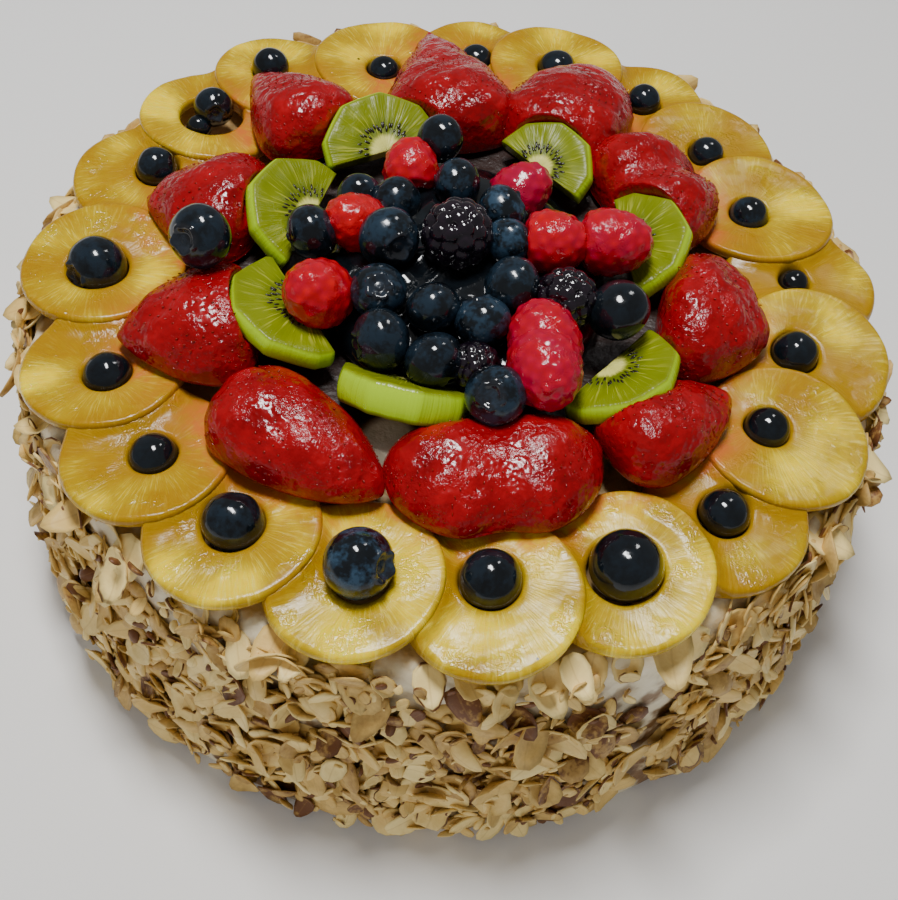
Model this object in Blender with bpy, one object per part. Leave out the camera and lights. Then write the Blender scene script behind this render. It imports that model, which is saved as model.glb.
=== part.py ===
"""Round layer cake under fresh fruit: a cream body with almond flakes on its side, a wreath of
lapped pineapple rings with a blueberry in each hole, and halved strawberries, half slices of kiwi
and a heap of berries on top. Metres, +Z up, origin at the centre of the flat underside."""

import math
import random

import bmesh
import bpy
from mathutils import Matrix, Vector

OBJECT_NAME = "Fresh_Fruit_Cake"
MM = 0.001
GAP = 0.4

# Cream body
BODY_FOOT_RADIUS = 158.5
BODY_RIM_RADIUS = 148.5
BED_Z = 103.0
BED_EDGE_ROUND = 4.0
MOUND_RADIUS = 84.0
MOUND_Z = 115.0
BODY_STEPS = 60

# Almond flakes on the side
FLAKE_SEED = 11
FLAKE_ROWS = 6
FLAKES_A_ROW = 20
FLAKE_LENGTH = (15.0, 23.0)
FLAKE_THICK = 1.6
FLAKE_SIDES = 6
RIM_FLAKES = 14
RIM_FLAKE_Z = 99.8

# Pineapple rings
RING_THICK = 4.8
RING_GAP = 0.6
RING_STEPS = 16
RING_EDGE_BULGE = 0.9
FOLD_ROUND = 2.5
RING_LEVEL = 110.1
# Each ring: angle and distance of its centre, outer radius, hole radius, then 1 if it lies
# over the ring before it, counter-clockwise from the front, and -1 if it lies under it.
RINGS = (
    (-100, 124, 27.5, 9.2, -1),
    (-81, 125, 27.5, 9.9, -1),
    (-62, 125, 27.5, 11.9, -1),
    (-44, 125, 27.0, 8.7, -1),
    (-27, 123, 28.0, 8.0, 1),
    (-9, 123, 28.0, 8.6, -1),
    (7.5, 122, 27.5, 6.0, -1),
    (24, 118, 28.0, 7.8, 1),
    (41, 119, 27.0, 7.3, -1),
    (58, 122, 26.5, 7.3, -1),
    (76, 122, 27.0, 8.2, 1),
    (92, 121, 26.5, 7.3, -1),
    (110, 118, 27.0, 7.3, 1),
    (128.8, 125, 26.2, 7.7, -1),
    (145, 123, 27.5, 12.2, -1),
    (163, 123, 27.5, 8.3, -1),
    (185.5, 123, 28.0, 10.9, 1),
    (206, 124, 27.5, 8.5, -1),
    (223.5, 125, 27.5, 8.2, -1),
    (241.5, 125, 27.5, 10.1, -1),
)
# Berry in each hole: radius, the shift of berry and hole along the wreath and outward, and the
# height that the berry stands off the bed, or None where it rests on the ring over its hole.
HOLE_BERRIES = (
    (10.7, 2.5, -0.5, None),
    (9.5, 0, -4.5, 0),
    (11.4, 0, 0, 0),
    (8.1, 0, -0.5, 0.5),
    (7.5, 1, -6, 1.5),
    (8.1, 0, -5, 0.5),
    (5.5, 0, -2, 1.5),
    (7.3, 0, -4, 1.5),
    (6.8, 0, -1, 2.5),
    (6.8, 0, 1, 3),
    (7.7, 0, 1, 1.5),
    (6.8, -1, 0, 1),
    (6.8, 0, -3, 0.5),
    (7.2, 3, 3.5, 5.2),
    (7.5, 0.8, 0, 4.5),
    (7.8, -3, -2, 1.5),
    (10.4, 1.5, 1.5, 0),
    (8.0, 4, 0, 0),
    (7.7, 2.5, -1, 0),
    (9.6, 0, -1, 0.5),
)
# The fifteenth hole also holds a small berry, pressed into the other: its radius and shift,
# and the shift of the other.
TWIN_HOLE = 15
SMALL_BERRY = (4.8, 7.3)
TWIN_SHIFT = -1.0
SEAT_GAP = 1.0
HOLE_BERRY_FLAT = 0.96
BERRY_FLAT = 0.86
BERRY_STEPS = 8

# Halved strawberries, cut side down: centre x and y, direction of the tip, length, width,
# height, depth of the furrow that parts a broad one into two lobes, and how pointed the tip is.
STRAWBERRY_Z = 117.2
STRAWBERRY_STEPS = 12
STRAWBERRIES = (
    (-47, -80, -28, 61, 37, 18, 0.0, 0.25),
    (17.5, -86, -78, 43, 69, 18, 0.22, 0.0),
    (69, -62.5, 38, 50, 34, 17, 0.0, 0.4),
    (84, -15, -8, 38, 52, 20, 0.0, 0.2),
    (67, 45, 33, 47, 56, 21, 0.25, 0.2),
    (34, 78, 58, 59, 49, 21, 0.0, 0.1),
    (-13, 87, 104, 73, 53, 21, 0.0, 1.0),
    (-67.5, 66.5, 132, 53, 40, 20, 0.0, 0.8),
    (-88, 14, 172, 44, 47, 19, 0.0, 0.5),
    (-82, -40.5, -168, 47, 47, 19, 0.0, 0.5),
)
BLUNT_SHAPE = ((0, 0), (0.30, 0.03), (0.47, 0.16), (0.5, 0.36), (0.42, 0.60), (0.25, 0.84), (0, 1))
SHARP_SHAPE = ((0, 0), (0.34, 0.02), (0.49, 0.12), (0.5, 0.27), (0.35, 0.57), (0.15, 0.85), (0, 1))

# Half slices of kiwi: centre of the cut edge, its height, direction of the round edge, radius,
# tilt and thickness.
KIWI_BULGE = 1.4
KIWI_STEPS = 20
KIWIS = (
    (-32, 47, 122.5, 121, 23.0, 30, 7.5),
    (-54, 10, 122.5, 167, 24.0, 30, 7.5),
    (-50.5, -33, 123.5, -145, 24.5, 20, 7.5),
    (-13, -59.5, 120.0, -100, 22.5, 44, 11.0),
    (51.5, -44, 121.5, -38, 23.0, 24, 7.5),
    (57, 12, 122.5, 10, 23.0, 28, 7.5),
    (25, 46, 122.5, 48, 20.0, 28, 7.5),
)
# A kiwi slice lies on the strawberries, so nothing of them stands over it.
KIWI_CLEAR = 14.0

# Heap: one bare core, with the berries that show fused on. Each berry: x, y, z and radius.
CORE_CENTRE = (1.0, -7.0)
CORE_STRETCH = (1.0, 1.08)
CORE_SHAPE = ((49, 115.4), (49, 120), (45, 126), (38, 130), (24, 133.5), (0, 135))
CORE_STEPS = 16
BLUEBERRIES = (
    (-12, 43, 136, 8.6),
    (-4, 21, 136, 8.8),
    (12, 9, 137, 9.0),
    (-24, 10, 135, 9.0),
    (-37, 14, 133, 7.6),
    (-50, -8, 135, 9.4),
    (-24, -12, 140, 10.2),
    (-25, -33, 137, 9.2),
    (-22, -50, 134, 10.0),
    (-7, -38, 138, 8.8),
    (-5, -56, 134, 9.6),
    (9, -41, 137, 9.2),
    (17, -26, 139, 9.6),
    (15, -7, 139, 8.0),
    (15, -68, 135, 9.6),
    (52, -29, 136, 10.2),
)
# Raspberries: x, y, z, radius, length, direction of the round tip, and its rise.
RASPBERRIES = (
    (-21, 30, 134, 10.5, 20, 100, 30),
    (-37, -2, 136, 10.5, 21, 200, 40),
    (-45, -35, 136, 12.0, 22, 230, 50),
    (19, 24, 134, 10.5, 21, 30, 30),
    (31, -4, 138, 11.5, 22, 0, 10),
    (51, 0, 137, 12.0, 25, 0, 8),
    (28, -44, 137, 12.5, 24, 110, 20),
    (30, -59, 137, 12.5, 25, -75, 5),
)
# Brambles: x, y, z and radius.
BRAMBLES = (
    (-2, -8, 141, 12.0),
    (35, -27, 136, 10.5),
    (8, -55, 132, 8.0),
)
LOOSE_BERRY = (-84, -21, 141.0, 10.5)

CREAM = (0.87, 0.83, 0.72, 1.0)
ALMOND = (0.62, 0.42, 0.22, 1.0)
PINEAPPLE = (0.80, 0.56, 0.08, 1.0)
STRAWBERRY = (0.42, 0.005, 0.008, 1.0)
KIWI = (0.30, 0.42, 0.03, 1.0)
BLUEBERRY = (0.012, 0.016, 0.03, 1.0)


def material(name, colour, roughness):
    made = bpy.data.materials.new(name)
    made.use_nodes = True
    shader = made.node_tree.nodes["Principled BSDF"]
    shader.inputs["Base Color"].default_value = colour
    shader.inputs["Roughness"].default_value = roughness
    shader.inputs["Metallic"].default_value = 0.0
    made.diffuse_color = colour
    return made


def finish(bm, name, look, collection):
    """The bmesh, drawn in millimetres, as an object in metres with its faces outward."""
    bmesh.ops.scale(bm, vec=Vector((MM, MM, MM)), verts=bm.verts)
    bmesh.ops.recalc_face_normals(bm, faces=bm.faces)
    mesh = bpy.data.meshes.new(name)
    bm.to_mesh(mesh)
    bm.free()
    mesh.materials.append(look)
    made = bpy.data.objects.new(name, mesh)
    collection.objects.link(made)
    return made


def turned(profile, steps):
    """A profile of (radius, height) pairs turned about Z. Its ends may lie on the axis."""
    bm = bmesh.new()
    verts = [bm.verts.new((radius, 0, height)) for radius, height in profile]
    edges = [bm.edges.new(pair) for pair in zip(verts, verts[1:])]
    if profile[0][0] > 0:
        edges.append(bm.edges.new((verts[-1], verts[0])))
    bmesh.ops.spin(
        bm,
        geom=verts + edges,
        cent=(0, 0, 0),
        axis=(0, 0, 1),
        angle=2 * math.pi,
        steps=steps,
        use_merge=True,
    )
    bmesh.ops.remove_doubles(bm, verts=bm.verts, dist=0.001)
    return bm


def reshape(bm, change):
    for vert in bm.verts:
        vert.co = change(vert.co)
    return bm


def place(bm, spin=0.0, tilt=0.0, at=(0, 0, 0)):
    """Tilts about Y so that +X rises, spins about Z, then moves."""
    turn = Matrix.Rotation(math.radians(spin), 4, "Z") @ Matrix.Rotation(-math.radians(tilt), 4, "Y")
    bmesh.ops.transform(bm, matrix=Matrix.Translation(at) @ turn, verts=bm.verts)
    return bm


def keep_half(bm, normal):
    """Removes what lies on the side of a plane through the origin that its normal points to."""
    everything = list(bm.verts) + list(bm.edges) + list(bm.faces)
    cut = bmesh.ops.bisect_plane(
        bm, geom=everything, dist=0.001, plane_co=(0, 0, 0), plane_no=normal, clear_outer=True
    )
    rim = [part for part in cut["geom_cut"] if isinstance(part, bmesh.types.BMEdge)]
    bmesh.ops.edgeloop_fill(bm, edges=rim)
    return bm


def polar(angle, distance):
    return (
        distance * math.cos(math.radians(angle)),
        distance * math.sin(math.radians(angle)),
    )


def join(base, parts_collection, operation="UNION"):
    """Applies one Boolean with every object of a collection, which are then removed."""
    boolean = base.modifiers.new("Join", "BOOLEAN")
    boolean.operation = operation
    boolean.operand_type = "COLLECTION"
    boolean.collection = parts_collection
    boolean.solver = "MANIFOLD"
    graph = bpy.context.evaluated_depsgraph_get()
    joined = bpy.data.meshes.new_from_object(base.evaluated_get(graph))
    base.modifiers.clear()
    base.data = joined
    for part in list(parts_collection.objects):
        bpy.data.objects.remove(part)


def helper_collection(name):
    made = bpy.data.collections.new(name)
    made.hide_render = True
    bpy.context.scene.collection.children.link(made)
    return made


def flake(length, turn, lean, roll, at, look, collection):
    """One almond flake: a thin drop-shaped plate."""
    bm = bmesh.new()
    bmesh.ops.create_circle(bm, cap_ends=True, radius=1.0, segments=FLAKE_SIDES)
    width = 0.34 * length
    pointed = 0.35

    def drop(co):
        return Vector((0.5 * length * co.x, width * co.y * (1 - pointed * co.x), 0))

    reshape(bm, drop)
    grown = bmesh.ops.extrude_face_region(bm, geom=list(bm.faces))
    top = [part for part in grown["geom"] if isinstance(part, bmesh.types.BMVert)]
    bmesh.ops.translate(bm, vec=(0, 0, FLAKE_THICK), verts=top)
    turns = (
        Matrix.Rotation(turn, 4, "Z")
        @ Matrix.Rotation(lean, 4, "Y")
        @ Matrix.Rotation(roll, 4, "Z")
    )
    bmesh.ops.transform(bm, matrix=Matrix.Translation(at) @ turns, verts=bm.verts)
    made = finish(bm, "flake", look, collection)
    made.display_type = "WIRE"
    return made


def cake_body(look, flake_look, collection):
    """Cream body, turned, with the almond flakes that show fused to its side."""
    profile = (
        (0, 0),
        (BODY_FOOT_RADIUS, 0),
        (BODY_RIM_RADIUS, BED_Z - BED_EDGE_ROUND),
        (BODY_RIM_RADIUS - BED_EDGE_ROUND, BED_Z),
        (MOUND_RADIUS, BED_Z),
        (MOUND_RADIUS - 2, MOUND_Z),
        (0, MOUND_Z),
    )
    body = finish(turned(profile, BODY_STEPS), "cream_cake", look, collection)
    flakes = helper_collection("Flakes")
    rng = random.Random(FLAKE_SEED)
    row_height = (RIM_FLAKE_Z - 10.0) / FLAKE_ROWS
    wall_lean = math.atan2(BED_Z, BODY_FOOT_RADIUS - BODY_RIM_RADIUS)
    for row in range(FLAKE_ROWS):
        for column in range(FLAKES_A_ROW):
            length = rng.uniform(*FLAKE_LENGTH)
            angle = 360 * (column + 0.5 * (row % 2) + rng.uniform(-0.3, 0.3)) / FLAKES_A_ROW
            height = 10.0 + row_height * (row + 0.5 + rng.uniform(-0.3, 0.3))
            share = height / BED_Z
            wall = BODY_RIM_RADIUS * share + BODY_FOOT_RADIUS * (1 - share)
            distance = wall + rng.uniform(-1.0, -0.5)
            turn = math.radians(angle + rng.uniform(-7, 7))
            lean = wall_lean + math.radians(rng.uniform(-8, 8))
            at = (*polar(angle, distance), height)
            roll = rng.uniform(0, 2 * math.pi)
            flake(length, turn, lean, roll, at, flake_look, flakes)
    for column in range(RIM_FLAKES):
        angle = 360 * (column + rng.uniform(-0.3, 0.3)) / RIM_FLAKES
        at = (*polar(angle, BODY_RIM_RADIUS - 1.0), RIM_FLAKE_Z - 3.0)
        lean = math.radians(rng.uniform(0, 8))
        flake(FLAKE_LENGTH[1], math.radians(angle), lean, rng.uniform(-0.5, 0.5), at, flake_look, flakes)
    join(body, flakes)
    return body


def fold(index, angle):
    """Height over the level of the wreath that ring `index` has at an angle: it slopes down
    to the neighbour that lies over it and up over the neighbour that it lies on."""
    centre = RINGS[index][0]
    before = RINGS[index - 1][0]
    after = RINGS[(index + 1) % len(RINGS)][0]
    step = RING_THICK + RING_GAP
    slope_before = -RINGS[index][4] * step / ((centre - before) % 360)
    slope_after = -RINGS[(index + 1) % len(RINGS)][4] * step / ((after - centre) % 360)
    turn = (angle - centre + 180) % 360 - 180
    mean = 0.5 * (slope_before + slope_after)
    bend = 0.5 * (slope_after - slope_before)
    return mean * turn + bend * math.hypot(turn, FOLD_ROUND)


def pineapple_ring(index, look, collection):
    """A turned ring with rounded edges, draped over and under its neighbours."""
    angle, distance, radius, hole, _ = RINGS[index]
    along, outward = HOLE_BERRIES[index][1:3]
    half = 0.5 * RING_THICK
    profile = (
        (hole, -half),
        (radius - RING_EDGE_BULGE, -half),
        (radius, 0),
        (radius - RING_EDGE_BULGE, half),
        (hole, half),
    )
    bm = turned(profile, RING_STEPS)
    x, y = polar(angle, distance)
    out_x, out_y = polar(angle, 1.0)
    hole_x, hole_y = outward * out_x - along * out_y, outward * out_y + along * out_x

    def drape(co):
        share = (radius - math.hypot(co.x, co.y)) / (radius - hole)
        px, py = co.x + x + hole_x * share, co.y + y + hole_y * share
        here = math.degrees(math.atan2(py, px))
        return Vector((px, py, co.z + RING_LEVEL + fold(index, here)))

    reshape(bm, drape)
    return finish(bm, f"pineapple_ring_{index + 1:02d}", look, collection)


def berry(radius, steps=BERRY_STEPS, rows=5, flat=BERRY_FLAT):
    """A slightly flattened round berry."""
    profile = []
    for row in range(rows + 1):
        turn = math.pi * row / rows
        ring = 0.0 if row in (0, rows) else radius * math.sin(turn)
        profile.append((ring, -radius * flat * math.cos(turn)))
    return turned(profile, steps)


def hole_berry(index, look, collection):
    """A berry down in the hole of its ring, or on the ring's edge where the hole is too small."""
    radius, along, outward, stand = HOLE_BERRIES[index]
    angle, distance, _, hole, _ = RINGS[index]
    out_x, out_y = polar(angle, 1.0)
    if index + 1 == TWIN_HOLE:
        along = TWIN_SHIFT

    def spot(shift, height):
        reach = distance + outward
        return (reach * out_x - shift * out_y, reach * out_y + shift * out_x, height)

    if stand is None:
        high = math.sqrt((radius + SEAT_GAP) ** 2 - hole**2)
        slope = (fold(index, angle + 1) - fold(index, angle - 1)) / (2 * math.radians(distance))
        height = RING_LEVEL + RING_THICK / 2 + fold(index, angle) + high
        at = spot(along - slope * high, height)
    else:
        at = spot(along, BED_Z + GAP + stand + radius * HOLE_BERRY_FLAT)
    bm = place(berry(radius, flat=HOLE_BERRY_FLAT), spin=angle, at=at)
    made = finish(bm, f"ring_blueberry_{index + 1:02d}", look, collection)
    if index + 1 == TWIN_HOLE:
        radius, along = SMALL_BERRY
        beside = helper_collection("Beside")
        bm = place(berry(radius), spin=angle, at=spot(along, BED_Z + GAP + 1.5 * radius))
        finish(bm, "small berry", look, beside)
        join(made, beside)
        bpy.data.collections.remove(beside)
    return made


def strawberry_half(index, look, collection, name, grow=0.0):
    """A tapered, turned berry halved along its axis, laid with the cut side down."""
    x, y, tip, length, width, height, furrow, point = STRAWBERRIES[index]
    length, width, height = length + 2 * grow, width + 2 * grow, height + grow
    profile = []
    for (blunt, low), (sharp, high) in zip(BLUNT_SHAPE, SHARP_SHAPE):
        along = low + (high - low) * point
        profile.append((blunt + (sharp - blunt) * point, length * (along - 0.42)))
    bm = turned(profile, STRAWBERRY_STEPS)
    bmesh.ops.rotate(bm, verts=bm.verts, cent=(0, 0, 0), matrix=Matrix.Rotation(math.pi / 2, 3, "Y"))

    def swell(co):
        dip = furrow * math.exp(-((co.y / 0.16) ** 2))
        reach = co.x * (1 - dip) if co.x > 0 else co.x
        return Vector((reach, co.y * width, co.z * 2 * height * (1 - dip)))

    reshape(bm, swell)
    keep_half(bm, (0, 0, -1))
    place(bm, spin=tip, at=(x, y, STRAWBERRY_Z - grow))
    return finish(bm, name, look, collection)


def kiwi_half(index, look, collection, name, grow=0.0, above=0.0):
    """Half of a round slice with a bulging rim, tilted so that its round edge is raised."""
    x, y, z, spin, radius, tilt, thick = KIWIS[index]
    half = 0.5 * thick + grow
    profile = (
        (0, -half),
        (radius - KIWI_BULGE + grow, -half),
        (radius + grow, 0),
        (radius - KIWI_BULGE + grow, half + above),
        (0, half + above),
    )
    bm = turned(profile, KIWI_STEPS)
    bmesh.ops.translate(bm, verts=bm.verts, vec=(grow, 0, 0))
    keep_half(bm, (-1, 0, 0))
    bmesh.ops.translate(bm, verts=bm.verts, vec=(-grow, 0, 0))
    place(bm, spin=spin, tilt=tilt, at=(x, y, z))
    return finish(bm, name, look, collection)


def raspberry(radius, length):
    """A round-tipped cone with a hollow in its blunt end, lying along +X."""
    shape = ((0, 0.16), (0.55, 0.02), (0.9, 0.12), (1, 0.38), (0.82, 0.72), (0.45, 0.94), (0, 1))
    bm = turned([(radius * ring, length * (along - 0.5)) for ring, along in shape], BERRY_STEPS)
    bmesh.ops.rotate(bm, verts=bm.verts, cent=(0, 0, 0), matrix=Matrix.Rotation(math.pi / 2, 3, "Y"))
    return bm


def heap_pieces(looks, collection, grow=0.0):
    """Every berry of the heap, each with its own turn."""
    dark, red = looks
    for number, (x, y, z, radius) in enumerate(BLUEBERRIES):
        bm = place(berry(radius + grow), spin=37 * number, tilt=23, at=(x, y, z))
        finish(bm, "heap blueberry", dark, collection)
    for x, y, z, radius, length, spin, rise in RASPBERRIES:
        bm = place(raspberry(radius + grow, length + 2 * grow), spin=spin, tilt=rise, at=(x, y, z))
        finish(bm, "heap raspberry", red, collection)
    for number, (x, y, z, radius) in enumerate(BRAMBLES):
        bm = place(berry(radius + grow, 9, 6), spin=53 * number, tilt=40, at=(x, y, z))
        finish(bm, "heap bramble", dark, collection)


def berry_heap(looks, collection):
    """The bare core of the heap with the berries that show fused on."""
    dark = looks[0]

    def stretch(co):
        return Vector(
            (co.x * CORE_STRETCH[0] + CORE_CENTRE[0], co.y * CORE_STRETCH[1] + CORE_CENTRE[1], co.z)
        )

    core = reshape(turned(((0, MOUND_Z + GAP), *CORE_SHAPE), CORE_STEPS), stretch)
    heap = finish(core, "berry_heap", dark, collection)
    pieces = helper_collection("Heap pieces")
    heap_pieces(looks, pieces)
    join(heap, pieces)
    return heap


def loose_blueberry(look, collection, name, grow=0.0):
    x, y, z, radius = LOOSE_BERRY
    return finish(place(berry(radius + grow), at=(x, y, z)), name, look, collection)


def main():
    for left in list(bpy.data.objects):
        bpy.data.objects.remove(left)
    scene = bpy.context.scene
    parts = bpy.data.collections.new(OBJECT_NAME)
    scene.collection.children.link(parts)

    cream = material("Whipped cream", CREAM, 0.6)
    almond = material("Sliced almond", ALMOND, 0.7)
    pineapple = material("Glazed pineapple", PINEAPPLE, 0.18)
    red = material("Glazed strawberry", STRAWBERRY, 0.2)
    green = material("Kiwi flesh", KIWI, 0.3)
    dark = material("Blueberry skin", BLUEBERRY, 0.25)

    cake_body(cream, almond, parts)
    for index in range(len(RINGS)):
        pineapple_ring(index, pineapple, parts)
        hole_berry(index, dark, parts)
    halves = []
    for index in range(len(STRAWBERRIES)):
        halves.append(strawberry_half(index, red, parts, f"strawberry_half_{index + 1:02d}"))
    for index in range(len(KIWIS)):
        kiwi_half(index, green, parts, f"kiwi_half_slice_{index + 1:02d}")
    heap = berry_heap((dark, red), parts)
    loose_blueberry(dark, parts, "loose_blueberry")

    cutters = helper_collection("Cutters")
    for piece in halves + [heap]:
        for index in range(len(KIWIS)):
            above = 0.0 if piece is heap else KIWI_CLEAR
            kiwi_half(index, green, cutters, "kiwi cutter", grow=GAP, above=above)
        if piece is not heap:
            heap_pieces((dark, red), cutters, grow=GAP)
            loose_blueberry(dark, cutters, "berry cutter", grow=GAP)
        if piece is halves[5]:
            for index in (4, 6):
                strawberry_half(index, red, cutters, "strawberry cutter", grow=6 * GAP)
        join(piece, cutters, "DIFFERENCE")
    for name in ("Flakes", "Heap pieces", "Cutters"):
        bpy.data.collections.remove(bpy.data.collections[name])


main()
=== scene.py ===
"""Finished look of a fresh fruit cake: cream, almond flakes, glazed pineapple rings and berries.

Lengths in this file are millimetres, unless a name or a property says otherwise."""

import bpy
import numpy as np
from bpy.props import FloatProperty, FloatVectorProperty, IntProperty, PointerProperty
from mathutils import Matrix, Vector


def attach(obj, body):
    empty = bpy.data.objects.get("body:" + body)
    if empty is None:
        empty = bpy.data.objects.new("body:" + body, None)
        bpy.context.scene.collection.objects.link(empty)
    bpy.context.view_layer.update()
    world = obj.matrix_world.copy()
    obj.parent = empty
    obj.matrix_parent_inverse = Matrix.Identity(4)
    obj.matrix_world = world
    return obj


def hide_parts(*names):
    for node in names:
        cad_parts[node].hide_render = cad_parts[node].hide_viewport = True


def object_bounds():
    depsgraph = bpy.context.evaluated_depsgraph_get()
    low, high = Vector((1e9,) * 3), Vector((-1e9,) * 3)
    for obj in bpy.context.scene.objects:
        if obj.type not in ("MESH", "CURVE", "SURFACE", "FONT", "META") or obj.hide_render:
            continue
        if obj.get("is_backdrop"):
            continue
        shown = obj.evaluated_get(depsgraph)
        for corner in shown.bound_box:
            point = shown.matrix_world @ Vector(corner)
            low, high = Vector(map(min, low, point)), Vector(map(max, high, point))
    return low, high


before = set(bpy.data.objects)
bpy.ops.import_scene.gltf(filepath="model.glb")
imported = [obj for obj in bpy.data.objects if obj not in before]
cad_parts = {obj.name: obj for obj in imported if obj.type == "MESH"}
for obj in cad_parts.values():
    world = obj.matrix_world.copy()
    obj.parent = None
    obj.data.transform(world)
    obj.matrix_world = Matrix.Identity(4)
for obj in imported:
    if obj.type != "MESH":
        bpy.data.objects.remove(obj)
SOLID_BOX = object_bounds()

bl_info = {
    "name": "Fresh fruit cake",
    "version": (1, 0, 0),
    "blender": (4, 5, 0),
    "location": "View3D > Sidebar > Fruit cake",
    "description": "Makes the finished surfaces of a glazed fruit cake over its solids",
    "category": "Add Mesh",
}

MM = 0.001
TURN = 2 * np.pi
GOLDEN_ANGLE = np.pi * (3 - np.sqrt(5))
NONE = np.zeros((0, 3), int)

# Cream body: radius at the foot, radius and height at the rim, and those of the raised middle.
FOOT_RADIUS, RIM_RADIUS, BED, MOUND_RADIUS, MOUND = 158.5, 148.5, 103.0, 84.0, 115.0

# Place on the top where no glaze colour or painted shade lies over the cream, in metres.
BARE_CREAM = (-0.0165, -0.0745, 0)

# Flakes: the radius beyond which they are pressed back, and the direction in degrees, clockwise
# from +X, where the cream shows through them. Then the layers: name, rows and columns beyond those
# of the settings, seed, shortest and longest as shares of the settings' length, nearest and
# farthest off the side, least lean in radians, darkest and palest tone, share with brown skin, and
# how bare the layer is near the rim. Last, how many hang from the rim, and their seed.
FLAKE_REACH, BARE_SIDE = 162.5, 73.0
FLAKE_LAYERS = (
    ("almond_flakes_under", 0, 0, 21, (0.5, 0.95), (0.3, 1.0), 0.0, (0.0, 0.8), 0.12, 1.8),
    ("almond_flakes_over", -2, -12, 22, (0.5, 1.0), (0.6, 1.6), 0.0, (0.12, 1.0), 0.06, 2.4),
    ("almond_bits", 6, 30, 23, (0.2, 0.42), (0.8, 2.2), 0.5, (-0.1, 0.9), 0.4, 0.5),
)
RIM_FLAKES, RIM_SEED = 84, 24

# Pineapple rings: half their thickness, the radius of their edges, the step from one up to the
# next, how round the fold between is, and their mean height. Then for each ring the angle and
# distance of its centre, its outer radius and its hole's, 1 where it lies over the one before it
# and -1 where it lies under it, and how amber it is, 0 to 1.
RING_HALF_THICK, RING_CORNER, RING_STEP, FOLD_ROUND, RING_LEVEL = 2.4, 1.9, 5.4, 2.5, 110.1
RINGS = (
    (-100, 124, 27.5, 9.2, -1, 0.0),
    (-81, 125, 27.5, 9.9, -1, 0.15),
    (-62, 125, 27.5, 11.9, -1, 0.20),
    (-44, 125, 27.0, 8.7, -1, 0.55),
    (-27, 123, 28.0, 8.0, 1, 0.60),
    (-9, 123, 28.0, 8.6, -1, 0.70),
    (7.5, 122, 27.5, 6.0, -1, 0.70),
    (24, 118, 28.0, 7.8, 1, 0.60),
    (41, 119, 27.0, 7.3, -1, 0.75),
    (58, 122, 26.5, 7.3, -1, 0.60),
    (76, 122, 27.0, 8.2, 1, 0.50),
    (92, 121, 26.5, 7.3, -1, 0.55),
    (110, 118, 27.0, 7.3, 1, 0.50),
    (128.8, 125, 26.2, 7.7, -1, 0.45),
    (145, 123, 27.5, 12.2, -1, 0.35),
    (163, 123, 27.5, 8.3, -1, 0.75),
    (185.5, 123, 28.0, 10.9, 1, 0.65),
    (206, 124, 27.5, 8.5, -1, 0.75),
    (223.5, 125, 27.5, 8.2, -1, 0.85),
    (241.5, 125, 27.5, 10.1, -1, 0.30),
)
# Glaze in the step between two rings: its height there, how fast it thins out, and its limit.
FILLET, FILLET_REACH, FILLET_LIMIT = 3.4, 2.8, 3.6

# Berry in each hole: radius, the shift of berry and hole along the wreath and outward, how far it
# stands off the bed, or None where it rests on the ring, its bloom, 0 to 1, and the direction and
# the rise of its crown in degrees.
HOLE_BERRIES = (
    (10.7, 2.5, -0.5, None, 0.75, -20, 28),
    (9.5, 0, -4.5, 0, 0.10, 60, -50),
    (11.4, 0, 0, 0, 0.05, -90, -60),
    (8.1, 0, -0.5, 0.5, 0.05, -120, -40),
    (7.5, 1, -6, 1.5, 0.05, 30, -60),
    (8.1, 0, -5, 0.5, 0.05, -40, -50),
    (5.5, 0, -2, 1.5, 0.0, 0, -60),
    (7.3, 0, -4, 1.5, 0.2, 100, -40),
    (6.8, 0, -1, 2.5, 0.1, 0, -60),
    (6.8, 0, 1, 3, 0.1, -150, -30),
    (7.7, 0, 1, 1.5, 0.1, 0, -60),
    (6.8, -1, 0, 1, 0.1, 0, -60),
    (6.8, 0, -3, 0.5, 0.1, 0, -60),
    (7.2, 3, 3.5, 5.2, 0.1, 90, -60),
    (7.5, 0.8, 0, 4.5, 0.1, -70, 20),
    (7.8, -3, -2, 1.5, 0.15, 180, -30),
    (10.4, 1.5, 1.5, 0, 0.15, -130, 10),
    (8.0, 4, 0, 0, 0.05, 0, -60),
    (7.7, 2.5, -1, 0, 0.05, 0, -60),
    (9.6, 0, -1, 0.5, 0.15, -100, -40),
)
# One hole holds a second, small berry: its number, the shift of the first berry, and the radius,
# shift and crown's direction and rise of the small one.
TWIN_HOLE, TWIN_SHIFT = 15, -1.0
SMALL_BERRY_RADIUS, SMALL_BERRY_SHIFT, SMALL_BERRY_CROWN = 4.8, 7.3, (90, 10)
# How flat berries are, the room between a ring and a berry that rests on it, and what a berry's
# skin carries besides its shape.
HOLE_BERRY_FLAT, BERRY_FLAT, SEAT_GAP = 0.96, 0.88, 0.7
BERRY_CHANNELS = (("crown", 1), ("bloom", 1))

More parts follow.
